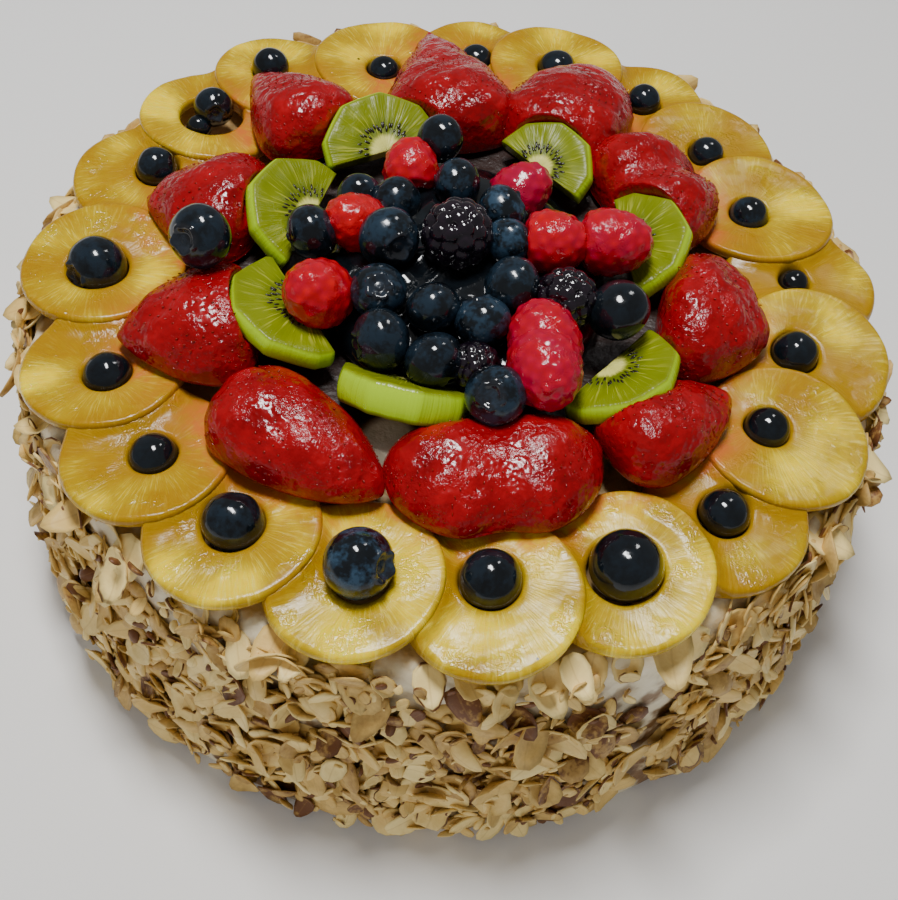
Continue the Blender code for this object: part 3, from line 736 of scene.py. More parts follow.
def flakes(length, width, cup, cut, thick, tone, skin, frames, places, sides=11):
    """Thin drop-shaped slips, all at once: x = half length * cos a, y = half width * sin a *
    (1 - 0.28 cos a), height = cup * (x^2 / length), cut off straight at a share of the length.
    Channels: tone, brown skin at the edge, and the place across the flake."""
    a = np.linspace(0, TURN, sides, endpoint=False)
    circle = np.stack([np.cos(a), np.sin(a) * (1 - 0.28 * np.cos(a))], -1)
    rings = np.concatenate([np.zeros((1, 2)), circle * 0.68, circle, circle, np.zeros((1, 2))])
    edge = np.concatenate([[0], np.zeros(sides), np.ones(2 * sides), [0]])
    top = np.concatenate([[1], np.ones(2 * sides), -np.ones(sides), [-1]])
    n = len(length)
    x = 0.5 * length[:, None] * np.minimum(rings[None, :, 0], cut[:, None])
    y = 0.5 * width[:, None] * rings[None, :, 1]
    z = cup[:, None] * (x**2 / length[:, None] + y**2 / width[:, None])
    z = z + 0.5 * thick[:, None] * top * (1 - 0.45 * edge)
    local = np.stack([x, y, z], -1)
    points = np.einsum("nij,npj->npi", frames, local) + places[:, None]
    points[..., 2] = np.maximum(points[..., 2], 0.05)
    reach = np.hypot(points[..., 0], points[..., 1])
    pressed = np.minimum(reach, FLAKE_REACH + 0.4 * (reach - FLAKE_REACH))
    points[..., :2] *= (pressed / reach)[..., None]
    values = stacked(points, tone[:, None], skin[:, None] * edge, y / width[:, None])
    i = np.arange(sides)
    j = (i + 1) % sides
    inner, outer, under, last = 1, 1 + sides, 1 + 2 * sides, 1 + 3 * sides
    face = np.stack([inner + i, outer + i, outer + j, inner + j], -1)
    side = np.stack([outer + i, under + i, under + j, outer + j], -1)
    middle = np.stack([0 * i, inner + i, inner + j], -1)
    back = np.stack([0 * i + last, under + j, under + i], -1)
    quads, fans = np.concatenate([face, side]), np.concatenate([middle, back])
    step = np.arange(n)[:, None, None] * (last + 1)
    return values.reshape(-1, 6), (quads + step).reshape(-1, 4), (fans + step).reshape(-1, 3)


def wall_frames(angle, height, roll, lean, lean_aside, lift):
    """Axes and centres of flakes on the side of the cake. A flake's face is the wall's normal, its
    length turns by roll in the wall, then it leans two ways, and it stands off by lift."""
    slope = np.arctan2(FOOT_RADIUS - RIM_RADIUS, BED)
    out = round_z(np.cos(slope), angle, np.sin(slope))
    level = aside_of(angle)
    rise = np.cross(out, level)
    c, s = np.cos(roll)[:, None], np.sin(roll)[:, None]
    ahead, aside = c * level + s * rise, c * rise - s * level
    c, s = np.cos(lean)[:, None], np.sin(lean)[:, None]
    ahead, out_1 = c * ahead + s * out, c * out - s * ahead
    c, s = np.cos(lean_aside)[:, None], np.sin(lean_aside)[:, None]
    aside, out_2 = c * aside + s * out_1, c * out_1 - s * aside
    radius = FOOT_RADIUS + (RIM_RADIUS - FOOT_RADIUS) * height / BED
    places = round_z(radius, angle, height) + lift[:, None] * out
    return np.stack([ahead, aside, out_2], -1), places


def almond_layer(rows, columns, seed, lengths, lifts, lean, tones, skins, bare=0.0):
    """A jittered grid of flakes over the side, thinned where a slow wave near the rim is high."""
    rng = np.random.default_rng(seed)
    count = rows * columns
    row, column = np.divmod(np.arange(count), columns)
    angle = TURN * ((column + 0.5 * (row % 2) + rng.uniform(-0.45, 0.45, count)) / columns - 0.5)
    height = 4 + (BED - 6) * (row + 0.5 + rng.uniform(-0.45, 0.45, count)) / rows
    length = rng.uniform(*lengths, count)
    width = length * rng.uniform(0.5, 0.68, count)
    tilt, tilt_aside = rng.normal(0, lean, count), rng.normal(0, 0.7 * lean, count)
    lift = rng.uniform(*lifts, count) + 0.2 * length * np.abs(np.sin(tilt))
    high_enough = height > 3 + 0.3 * length
    wave = np.sin(5 * angle + 1.1) + np.sin(11 * angle + 0.4) + 0.6 * np.sin(23 * angle)
    wave = wave + 1.5 * np.exp(-(((angle + np.radians(BARE_SIDE)) / 0.24) ** 2))
    keep = high_enough & (wave < 2.6 - bare * smooth(60, 98, height))
    roll = rng.uniform(0, TURN, count)
    frames, places = wall_frames(angle, height, roll, tilt, tilt_aside, lift)
    whole = rng.uniform(0, 1, count) < 0.62
    return flakes(
        length[keep],
        width[keep],
        rng.uniform(-0.9, 0.9, count)[keep],
        np.where(whole, 1, rng.uniform(-0.1, 0.7, count))[keep],
        rng.uniform(0.8, 1.3, count)[keep],
        rng.uniform(*tones, count)[keep],
        (rng.uniform(0, 1, count) < skins)[keep] * 1.0,
        frames[keep],
        places[keep],
    )


def rim_flakes(count):
    """Larger, paler flakes caught under the rings, hanging out and down from the rim."""
    rng = np.random.default_rng(RIM_SEED)
    angle = TURN * (np.arange(count) + rng.uniform(-0.4, 0.4, count)) / count
    length = rng.uniform(14, 22, count)
    drop = rng.uniform(0.15, 1.35, count)
    heading = angle + rng.normal(0, 0.5, count)
    ahead, aside = round_z(np.cos(drop), heading, -np.sin(drop)), aside_of(heading)
    frames = np.stack([ahead, aside, np.cross(ahead, aside)], -1)
    start = round_z(RIM_RADIUS - 4.5, angle, rng.uniform(BED - 3.5, BED - 0.5, count))
    places = start + ahead * (0.34 * length)[:, None]
    return flakes(
        length,
        length * rng.uniform(0.55, 0.72, count),
        rng.uniform(0.2, 1.0, count),
        np.where(rng.uniform(0, 1, count) < 0.7, 1, 0.6),
        rng.uniform(0.9, 1.3, count),
        rng.uniform(0.45, 1.0, count),
        (rng.uniform(0, 1, count) < 0.15) * 1.0,
        frames,
        places,
    )


# Materials


class Nodes:
    """Writes a shader tree: a method adds a node and gives back its socket. What goes in is
    another node's socket, a number or a colour."""

    def __init__(self, tree):
        self.tree = tree

    @property
    def place(self):
        return self.put("ShaderNodeTexCoord").outputs["Object"]

    def put(self, kind, inputs=None, **settings):
        """A new node with some of its settings and inputs."""
        made = self.tree.nodes.new(kind)
        for name, value in settings.items():
            setattr(made, name, value)
        for name, value in (inputs or {}).items():
            if isinstance(value, bpy.types.NodeSocket):
                self.tree.links.new(value, made.inputs[name])
            else:
                made.inputs[name].default_value = value
        return made

    def maths(self, operation, *values, clamp=False):
        inputs = dict(enumerate(values))
        return self.put("ShaderNodeMath", inputs, operation=operation, use_clamp=clamp).outputs[0]

    def plus(self, first, second, clamp=False):
        return self.maths("ADD", first, second, clamp=clamp)

    def less(self, first, second):
        return self.maths("SUBTRACT", first, second)

    def times(self, first, second):
        return self.maths("MULTIPLY", first, second)

    def swayed(self, value, share, reach):
        """A value moved up and down by a share that lies about one half, kept within 0 to 1."""
        return self.plus(value, self.times(self.less(share, 0.5), reach), clamp=True)

    def vector(self, operation, *values, output="Vector"):
        inputs = dict(enumerate(values))
        return self.put("ShaderNodeVectorMath", inputs, operation=operation).outputs[output]

    def mix(self, share, first, second):
        """The first colour where the share is 0, and the second where it is 1."""
        colours = [c if isinstance(c, bpy.types.NodeSocket) else (*c, 1) for c in (first, second)]
        inputs = {0: share, 6: colours[0], 7: colours[1]}
        return self.put("ShaderNodeMix", inputs, data_type="RGBA").outputs[2]

    def ranged(self, value, low, high, to_low=0.0, to_high=1.0):
        inputs = {0: value, 1: low, 2: high, 3: to_low, 4: to_high}
        return self.put("ShaderNodeMapRange", inputs, interpolation_type="SMOOTHSTEP").outputs[0]

    def noise(self, vector, scale, detail=2.0, rough=0.5, distortion=0.0):
        inputs = {"Vector": vector, "Scale": scale, "Detail": detail}
        inputs |= {"Roughness": rough, "Distortion": distortion}
        return self.put("ShaderNodeTexNoise", inputs).outputs[0]

    def cells(self, scale, **smoothing):
        """Distance to the middle of the nearest cell, blended at borders by any Smoothness."""
        inputs = {"Vector": self.place, "Scale": scale, **smoothing}
        feature = "SMOOTH_F1" if smoothing else "F1"
        return self.put("ShaderNodeTexVoronoi", inputs, feature=feature).outputs["Distance"]

    def value_at(self, name, output="Fac"):
        return self.put("ShaderNodeAttribute", attribute_name=name).outputs[output]

    def radial(self, scale):
        """The direction from a slice's middle times a scale, and the distance from there."""
        flat = self.vector("MULTIPLY", self.value_at("slice", "Vector"), (1, 1, 0))
        way = self.vector("MULTIPLY", self.vector("NORMALIZE", flat), (scale, scale, 0))
        return way, self.vector("LENGTH", flat, output="Value")

    def effect(self, group, **values):
        made = self.put("ShaderNodeGroup", node_tree=group)
        for name, value in values.items():
            made.inputs[name].default_value = value
        return made.outputs

    def glaze(self, depth, normal=None, **values):
        """The bump of the glaze over another normal, and where it is wrinkled."""
        made = self.effect(glaze_effect(), **values)
        return self.bump(made["Height"], depth, normal), made["Patch"]

    def mottle(self, size, contrast):
        return self.effect(mottle_effect(), Size=size, Contrast=contrast)["Share"]

    def bump(self, height, depth, normal=None):
        """A bump of a depth in millimetres for a height from 0 to 1."""
        inputs = {"Height": height, "Distance": depth * MM, "Strength": 1.0}
        if normal is not None:
            inputs["Normal"] = normal
        return self.put("ShaderNodeBump", inputs).outputs[0]


class Finish(Nodes):
    """A new material and its Principled shader, whose constant values are set on its sockets."""

    def __init__(self, name, **constants):
        self.material = bpy.data.materials.new(name)
        self.material.use_nodes = True
        super().__init__(self.material.node_tree)
        self.shader = self.tree.nodes["Principled BSDF"]
        for label, value in constants.items():
            self.shader.inputs[label.replace("_", " ")].default_value = value

    def joined(self, **sources):
        """Joins sockets to the shader's inputs of those names and gives back the material."""
        for label, source in sources.items():
            self.tree.links.new(source, self.shader.inputs[label.replace("_", " ")])
        return self.material


def effect_group(name, inputs, write):
    """A shader group, made once, whose inputs are numbers with a default each. The outputs are
    the numbers that write gives back by name."""
    found = bpy.data.node_groups.get(name)
    if found:
        return found
    tree = bpy.data.node_groups.new(name, "ShaderNodeTree")
    for label, value in inputs.items():
        socket = tree.interface.new_socket(label, in_out="INPUT", socket_type="NodeSocketFloat")
        socket.default_value = value
    nodes = Nodes(tree)
    made = write(nodes, nodes.put("NodeGroupInput").outputs)
    for label in made:
        tree.interface.new_socket(label, in_out="OUTPUT", socket_type="NodeSocketFloat")
    nodes.put("NodeGroupOutput", made)
    return tree


def glaze_effect():
    """Clear glaze: slow swells everywhere, and fine wrinkles in scattered patches."""

    def write(nodes, given):
        scale = nodes.maths("DIVIDE", 1 / MM, given["Size"])
        swell = nodes.noise(nodes.place, nodes.times(scale, 0.28), 1.0)
        fine = nodes.noise(nodes.place, scale, 2.5, 0.55, 1.4)
        where = nodes.noise(nodes.place, nodes.times(scale, 0.22), 1.0)
        limit = nodes.less(0.72, nodes.times(given["Wrinkled"], 0.4))
        patch = nodes.ranged(where, nodes.less(limit, 0.10), nodes.plus(limit, 0.12))
        wrinkle = nodes.times(fine, nodes.ranged(patch, 0.0, 1.0, 0.07, 0.6))
        return {"Height": nodes.plus(nodes.times(swell, given["Swell"]), wrinkle), "Patch": patch}

    return effect_group("Glaze wrinkles", {"Size": 3.0, "Wrinkled": 0.5, "Swell": 0.45}, write)


def mottle_effect():
    """Uneven colour: two sizes of noise spread about the middle by a contrast."""

    def write(nodes, given):
        scale = nodes.maths("DIVIDE", 1 / MM, given["Size"])
        slow = nodes.noise(nodes.place, scale, 2.0)
        fast = nodes.noise(nodes.place, nodes.times(scale, 4.3), 3.0)
        both = nodes.plus(nodes.times(slow, 0.65), nodes.times(fast, 0.35))
        spread = nodes.times(nodes.less(both, 0.5), nodes.times(given["Contrast"], 2.6))
        return {"Share": nodes.plus(spread, 0.5, clamp=True)}

    return effect_group("Mottle", {"Size": 8.0, "Contrast": 1.0}, write)


def cream_finish(given):
    """Cream, with crumbled nut and painted shade low on the side. On the top under the fruit, a
    glaze colour that is partly painted shade, and near-black painted shade under the heap and
    slices.
    """
    look = Finish("Whipped cream", Roughness=0.5)
    colour = look.mix(look.mottle(9.0, 1.0), given.shade, given.colour)
    high = look.put("ShaderNodeSeparateXYZ", {0: look.place}).outputs[2]
    # Brown below 66 mm, fading out by 100 mm: partly crumbled nut, partly painted shade in the gaps
    # between the flakes.
    low_down = look.ranged(high, 0.100, 0.066)
    crumbs_and_shade = look.ranged(look.noise(look.place, 95.0, 3.0), 0.40, 0.56)
    colour = look.mix(look.times(crumbs_and_shade, low_down), colour, given.crumb_and_shade)
    level = look.vector("MULTIPLY", look.place, (1, 1, 0))
    out = look.vector("LENGTH", level, output="Value")
    ragged = look.plus(out, look.times(look.noise(level, 120.0), 0.02))
    spot = look.vector("DISTANCE", level, BARE_CREAM, output="Value")
    on_top = look.ranged(high, 0.0985, 0.1015)
    glaze_and_shade_cover = look.times(on_top, look.ranged(spot, 0.007, 0.011))
    glaze_and_shade_cover = look.times(glaze_and_shade_cover, look.ranged(ragged, 0.157, 0.150))
    # Glaze colour on the top under the fruit, dark so that gaps read as shade: partly painted
    # shade.
    colour = look.mix(look.times(glaze_and_shade_cover, 0.85), colour, given.glazed)
    # Near-black painted shade inside about 100 mm of the middle, under the heap and the slices.
    inner = look.times(glaze_and_shade_cover, look.ranged(ragged, 0.106, 0.090))
    colour = look.mix(inner, colour, given.juice)
    grain = look.noise(look.place, 420.0, 3.0)
    return look.joined(Base_Color=colour, Normal=look.bump(grain, 0.5))


def almond_finish(given):
    """Pale to toasted flakes with a darker line along the middle and brown skin at the edge."""
    look = Finish("Sliced almond", Roughness=0.48, Specular_IOR_Level=0.35)
    tone = look.swayed(look.value_at("tone"), look.mottle(5.0, 0.7), 0.35)
    lower = look.mix(look.ranged(tone, 0.0, 0.45), given.toasted, given.tan)
    colour = look.mix(look.ranged(tone, 0.4, 1.0), lower, given.pale)
    colour = look.mix(look.ranged(tone, 0.12, 0.02), colour, given.skin)
    line = look.maths("ABSOLUTE", look.value_at("across"))
    colour = look.mix(look.ranged(line, 0.05, 0.0, 0.0, 0.25), colour, given.toasted)
    torn = look.ranged(look.noise(look.place, 130.0, 2.0), 0.44, 0.56)
    edge = look.times(look.ranged(look.value_at("skin"), 0.55, 0.8), torn)
    colour = look.mix(edge, colour, given.skin)
    grain = look.noise(look.place, 900.0, 3.0)
    return look.joined(Base_Color=colour, Normal=look.bump(grain, 0.12))


def pineapple_finish(given):
    """Lemon to amber flesh, the amber partly painted shade at the laps and round the holes, with
    strands that run out from the hole, juice, and specks.
    """
    look = Finish(
        "Glazed pineapple",
        Roughness=0.12,
        Specular_IOR_Level=0.32,
        Subsurface_Weight=0.3,
        Subsurface_Scale=0.004,
        Subsurface_Radius=(1.0, 0.6, 0.12),
    )
    way, out = look.radial(17)
    depth = look.put("ShaderNodeCombineXYZ", {2: look.times(out, 0.10)}).outputs[0]
    strand_place = look.vector("ADD", look.vector("ADD", way, depth), look.place)
    strands = look.noise(strand_place, 1.6, 4.0, 0.6)
    mottle = look.mottle(14.0, 1.0)
    # The amber attribute holds painted shade at the laps and round the holes as well as the tone.
    amber = look.swayed(look.value_at("amber"), mottle, 0.35)
    colour = look.mix(look.ranged(amber, 0.05, 0.6), given.lemon, given.golden)
    colour = look.mix(look.ranged(amber, 0.45, 1.0), colour, given.amber)
    paler = look.ranged(amber, 0.15, 0.95, 0.75, 0.10)
    colour = look.mix(look.times(look.ranged(strands, 0.50, 0.68), paler), colour, given.strand)
    darker = look.times(look.ranged(strands, 0.46, 0.28), 0.35)
    colour = look.mix(darker, colour, given.golden)
    stained = look.ranged(mottle, 0.25, 0.75, 0.25, 0.85)
    colour = look.mix(look.times(look.value_at("juice"), stained), colour, given.stain)
    colour = look.mix(look.ranged(look.cells(62.0), 0.045, 0.025), colour, SPECK_COLOUR)
    under = look.bump(strands, 0.12)
    normal, patch = look.glaze(0.85, under, Size=2.8, Wrinkled=0.42, Swell=0.22)
    rough = look.ranged(patch, 0.0, 1.0, 0.20, 0.09)
    return look.joined(Base_Color=colour, Normal=normal, Roughness=rough)


def blueberry_finish(given):
    """Near-black skin with worn bloom, rough where the bloom is thick."""
    look = Finish("Blueberry skin", Specular_IOR_Level=0.4, Coat_Weight=0.25, Coat_Roughness=0.05)
    worn = look.ranged(look.mottle(6.0, 1.3), 0.2, 0.85)
    dust = look.times(worn, look.value_at("bloom"))
    colour = look.mix(look.mottle(11.0, 1.2), given.skin, given.skin_light)
    colour = look.mix(dust, colour, given.bloom)
    colour = look.mix(look.times(look.value_at("crown"), 0.45), colour, given.crown)
    rough = look.plus(look.times(dust, 0.28), 0.10)
    fine = look.noise(look.place, 260.0, 2.0)
    return look.joined(Base_Color=colour, Roughness=rough, Normal=look.bump(fine, 0.18))


def strawberry_finish(given):
    """Mottled red flesh of fine cells under wrinkled glaze."""
    look = Finish("Glazed strawberry", Specular_IOR_Level=0.45)
    mottle = look.mottle(12.0, 1.2)
    colour = look.mix(mottle, given.deep, given.red)
    colour = look.mix(look.value_at("achene"), colour, given.achene)
    under = look.bump(look.cells(520.0, Smoothness=0.6), 0.28)
    normal, _ = look.glaze(0.55, under, Size=1.5, Wrinkled=0.55)
    rough = look.ranged(mottle, 0.0, 1.0, 0.12, 0.2)
    return look.joined(Base_Color=colour, Normal=normal, Roughness=rough)


def kiwi_finish(given):
    """Green flesh: a pale core, a dark seed bed round it, pale rays, and the peeled rim."""
    look = Finish("Kiwi flesh", Specular_IOR_Level=0.25)
    way, out = look.radial(9.5)
    depth = look.put("ShaderNodeCombineXYZ", {2: out}).outputs[0]
    rays = look.noise(look.vector("ADD", way, depth), 1.7, 2.5, 0.55)
    ragged = look.plus(out, look.times(look.less(rays, 0.5), 0.16))
    wide = look.noise(look.place, 90.0, 2.0)
    colour = look.mix(wide, given.flesh, given.flesh_light)
    band = look.times(look.ranged(ragged, 0.24, 0.34), look.ranged(ragged, 0.62, 0.42))
    colour = look.mix(look.times(band, 0.55), colour, given.seed_bed)
    lines = look.times(look.ranged(rays, 0.54, 0.66), look.ranged(out, 0.98, 0.6))
    colour = look.mix(look.times(lines, 0.75), colour, given.ray)
    colour = look.mix(look.ranged(ragged, 0.30, 0.20), colour, given.core)
    rim = look.value_at("rim")
    colour = look.mix(rim, colour, given.rim)
    normal, _ = look.glaze(0.5, look.bump(rays, 0.3), Size=4.0, Wrinkled=0.3)
    rough = look.ranged(rim, 0.0, 1.0, 0.3, 0.12)
    return look.joined(Base_Color=colour, Normal=normal, Roughness=rough)


def kiwi_seed_finish(given):
    """Near-black, a little lighter in places."""
    look = Finish("Kiwi seed", Roughness=0.25)
    return look.joined(Base_Color=look.mix(look.mottle(1.0, 1.0), SEED_SHADE, given.seed))


def raspberry_finish(given):
    """Red to pink drupelets, painted shade between them, paler inside, under wrinkled glaze."""
    look = Finish("Glazed raspberry", Specular_IOR_Level=0.5)
    mottle = look.mottle(6.0, 1.0)
    colour = look.mix(look.swayed(look.value_at("pink"), mottle, 0.8), given.red, given.pink)
    # Painted shade between the drupelets.
    colour = look.mix(look.times(look.value_at("deep"), 0.4), colour, given.deep)
    colour = look.mix(look.value_at("hollow"), colour, given.hollow)
    normal, _ = look.glaze(0.6, Size=1.8, Wrinkled=0.55)
    rough = look.ranged(mottle, 0.0, 1.0, 0.1, 0.2)
    return look.joined(Base_Color=colour, Normal=normal, Roughness=rough)


def bramble_finish(given):
    """Black to purple drupelets under a coat and wrinkled glaze."""
    look = Finish("Bramble", Coat_Weight=0.5, Coat_Roughness=0.05)
    mottle = look.mottle(4.0, 1.2)
    colour = look.mix(mottle, given.black, given.purple)
    normal, _ = look.glaze(0.35, Size=2.0, Wrinkled=0.6)
    rough = look.ranged(mottle, 0.0, 1.0, 0.06, 0.14)
    return look.joined(Base_Color=colour, Normal=normal, Roughness=rough)


def floor_finish(given):
    """A pale floor, barely uneven."""
    look = Finish("Pale floor", Roughness=0.7, Specular_IOR_Level=0.2)
    darker = [0.97 * part for part in given.floor]
    return look.joined(Base_Color=look.mix(look.mottle(400.0, 0.4), darker, given.floor))


# Pieces


def put_piece(name, parts, look, nodes=(), channels=()):
    """One object from several skins, which replaces the solids of some nodes. Channels name the
    values that follow each point's place, with how many numbers each takes."""
    values = np.concatenate([part[0] for part in parts])
    starts = np.cumsum([0] + [len(part[0]) for part in parts[:-1]])
    quads = np.concatenate([part[1] + start for part, start in zip(parts, starts)])
    fans = np.concatenate([part[2] + start for part, start in zip(parts, starts)])
    corners = np.concatenate([quads.ravel(), fans.ravel()]).astype(np.int32)
    sizes = np.concatenate([np.full(len(quads), 4), np.full(len(fans), 3)])
    mesh = bpy.data.meshes.new(name)
    mesh.vertices.add(len(values))
    mesh.vertices.foreach_set("co", (values[:, :3] * MM).astype(np.float32).ravel())
    mesh.loops.add(len(corners))
    mesh.loops.foreach_set("vertex_index", corners)
    mesh.polygons.add(len(sizes))
    mesh.polygons.foreach_set("loop_start", (np.cumsum(sizes) - sizes).astype(np.int32))
    mesh.update(calc_edges=True)
    if mesh.validate():
        raise RuntimeError(f"{name} has faces that aren't sound")
    mesh.polygons.foreach_set("use_smooth", np.ones(len(sizes), bool))
    at = 3
    for label, width in channels:
        kind, field = ("FLOAT", "value") if width == 1 else ("FLOAT_VECTOR", "vector")
        attribute = mesh.attributes.new(label, kind, "POINT")
        attribute.data.foreach_set(field, values[:, at : at + width].astype(np.float32).ravel())
        at += width
    mesh.materials.append(look)
    piece = bpy.data.objects.new(name, mesh)
    bpy.context.scene.collection.objects.link(piece)
    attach(piece, "root")
    if nodes:
        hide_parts(*nodes)


def put_numbered(stem, node, skins, look, channels):
    """Pieces numbered from 01, each in place of the node that has its number."""
    for number, parts in enumerate(skins, 1):
        nodes = [f"{node}_{number:02d}"]
        put_piece(f"{stem}_{number:02d}", list(parts), look, nodes, channels)


def colour_property(name, description, default):
    """A colour as linear red, green and blue, 0 to 1."""
    return FloatVectorProperty(
        name=name, description=description, default=default, size=3, min=0, max=1, subtype="COLOR"
    )


def power_property(name, description, default):
    """The power of a light."""
    return FloatProperty(name=name, description=description, default=default, min=0, unit="POWER")


class CreamSettings(bpy.types.PropertyGroup):
    colour: colour_property("Cream", "Whipped cream in the light", (0.90, 0.82, 0.62))
    shade: colour_property("Shade", "Whipped cream where it is denser", (0.80, 0.70, 0.46))
    # Partly crumbled nut, partly painted shade in the gaps between the flakes low on the side.
    crumb_and_shade: colour_property("Crumb", "Crumb and crushed nut low on the side", (0.22, 0.11, 0.035))
    # Glazed is partly glaze and partly painted shade in the gaps under the fruit; Juice is
    # near-black painted shade under the heap and the slices.
    glazed: colour_property("Glazed", "Top under the fruit's glaze", (0.46, 0.24, 0.03))
    juice: colour_property("Juice", "Top under the heap and the slices", (0.02, 0.006, 0.003))


class AlmondSettings(bpy.types.PropertyGroup):
    pale: colour_property("Pale", "Palest flakes", (0.95, 0.74, 0.30))
    tan: colour_property("Tan", "Middle flakes", (0.74, 0.50, 0.155))
    toasted: colour_property("Toasted", "Darkest flakes", (0.38, 0.21, 0.055))
    skin: colour_property("Skin", "Brown skin at a flake's edge", (0.16, 0.06, 0.02))
    rows: IntProperty(
        name="Rows", description="Rows of flakes on the side", default=14, min=4, max=20
    )
    columns: IntProperty(
        name="Columns", description="Flakes in each row", default=98, min=20, max=120
    )
    length: FloatProperty(
        name="Length",
        description="Length of the longest flakes",
        default=0.0205,
        min=0.01,
        max=0.03,
        unit="LENGTH",
    )
    lean: FloatProperty(
        name="Lean",
        description="How far flakes lean off the side",
        default=0.33,
        min=0,
        max=1,
        subtype="ANGLE",
    )


class PineappleSettings(bpy.types.PropertyGroup):
    lemon: colour_property("Lemon", "Palest flesh", (0.92, 0.665, 0.003))
    golden: colour_property("Golden", "Flesh", (0.48, 0.315, 0.001))
    # Amber is partly the flesh's tone and partly painted shade at the laps and round the holes.
    amber: colour_property("Amber", "Where the rings lap and round the holes", (0.38, 0.20, 0.0005))
    strand: colour_property("Strand", "Pale strands that run out from the hole", (0.86, 0.70, 0.10))
    stain: colour_property("Stain", "Strawberry juice", (0.62, 0.14, 0.03))


class BlueberrySettings(bpy.types.PropertyGroup):
    skin: colour_property("Skin", "Darkest skin", (0.0025, 0.003, 0.004))
    skin_light: colour_property("Lighter skin", "Skin between", (0.006, 0.009, 0.012))
    bloom: colour_property("Bloom", "Dusty bloom", (0.030, 0.070, 0.120))
    crown: colour_property("Crown", "Crown of a berry", (0.02, 0.02, 0.024))


class StrawberrySettings(bpy.types.PropertyGroup):
    red: colour_property("Red", "Brighter flesh", (0.37, 0.0005, 0.005))
    deep: colour_property("Deep red", "Darker flesh", (0.20, 0.0003, 0.003))
    achene: colour_property("Achene", "Seeds on the skin", (0.22, 0.008, 0.004))


class KiwiSettings(bpy.types.PropertyGroup):
    flesh: colour_property("Flesh", "Green flesh", (0.13, 0.17, 0.003))
    flesh_light: colour_property("Lighter flesh", "Green flesh between", (0.22, 0.26, 0.006))
    seed_bed: colour_property("Seed bed", "Darker band that holds the seeds", (0.07, 0.10, 0.002))
    ray: colour_property("Ray", "Pale lines that run out from the core", (0.42, 0.44, 0.05))
    core: colour_property("Core", "Pale core", (0.75, 0.72, 0.18))
    rim: colour_property("Rim", "Peeled outside", (0.40, 0.62, 0.012))
    seed: colour_property("Seed", "Seeds", (0.03, 0.02, 0.012))


class HeapSettings(bpy.types.PropertyGroup):
    red: colour_property("Raspberry red", "Redder raspberries", (0.58, 0.0008, 0.005))
    pink: colour_property("Raspberry pink", "Pinker raspberries", (0.40, 0.0015, 0.045))
    # Raspberry deep is painted shade between the drupelets.
    deep: colour_property("Raspberry deep", "Between drupelets", (0.24, 0.0005, 0.004))
    hollow: colour_property("Hollow", "Inside a raspberry's hollow end", (0.50, 0.08, 0.10))
    black: colour_property("Bramble black", "Bramble drupelets", (0.003, 0.002, 0.004))
    purple: colour_property("Bramble purple", "Bramble drupelets between", (0.012, 0.006, 0.012))


class StageSettings(bpy.types.PropertyGroup):
    floor: colour_property("Floor", "Plain floor", (0.92, 0.91, 0.89))
    floor_size: FloatProperty(
        name="Floor size", description="Side of the floor", default=8.0, min=1, unit="LENGTH"
    )
    key_power: power_property("Key light", "Overhead light", 17.0)
    fill_power: power_property("Fill light", "Broad light from the front", 8.0)
    glint_power: power_property("Glint light", "Small light that shows only in gloss", 1.3)
    sky: FloatProperty(
        name="Sky", description="Strength of the light all round", default=0.2, min=0, max=5
    )


class FruitCakeSettings(bpy.types.PropertyGroup):
    cream: PointerProperty(type=CreamSettings)
    almond: PointerProperty(type=AlmondSettings)
    pineapple: PointerProperty(type=PineappleSettings)
    blueberry: PointerProperty(type=BlueberrySettings)
    strawberry: PointerProperty(type=StrawberrySettings)
    kiwi: PointerProperty(type=KiwiSettings)
    heap: PointerProperty(type=HeapSettings)
    stage: PointerProperty(type=StageSettings)


class FRUITCAKE_OT_cream_body(bpy.types.Operator):
    """Make the cream body"""

    bl_idname = "fruitcake.cream_body"
    bl_label = "Cream body"

    def execute(self, context):
        look = cream_finish(context.scene.fruit_cake.cream)
        put_piece("cream_body", [cream_skin()], look, ["cream_cake"])
        return {"FINISHED"}


class FRUITCAKE_OT_almond_flakes(bpy.types.Operator):
    """Make the almond flakes on the side"""

    bl_idname = "fruitcake.almond_flakes"
    bl_label = "Almond flakes"

    def execute(self, context):
        given = context.scene.fruit_cake.almond
        look = almond_finish(given)
        long = given.length / MM
        channels = (("tone", 1), ("skin", 1), ("across", 1))
        for name, rows, columns, seed, lengths, lifts, lean, tones, skins, bare in FLAKE_LAYERS:
            layer = almond_layer(
                given.rows + rows,
                given.columns + columns,
                seed,
                [share * long for share in lengths],
                lifts,
                max(given.lean, lean),
                tones,
                skins,
                bare,
            )
            put_piece(name, [layer], look, ["cream_cake"], channels)
        rim = [rim_flakes(RIM_FLAKES)]
        put_piece("almond_rim_flakes", rim, look, ["cream_cake"], channels)
        return {"FINISHED"}


class FRUITCAKE_OT_pineapple_rings(bpy.types.Operator):
    """Make the wreath of glazed pineapple rings"""

    bl_idname = "fruitcake.pineapple_rings"
    bl_label = "Pineapple rings"

    def execute(self, context):
        look = pineapple_finish(context.scene.fruit_cake.pineapple)
        channels = (("slice", 3), ("amber", 1), ("juice", 1))
        skins = ([ring_skin(index)] for index in range(len(RINGS)))
        put_numbered("glazed_ring", "pineapple_ring", skins, look, channels)
        return {"FINISHED"}


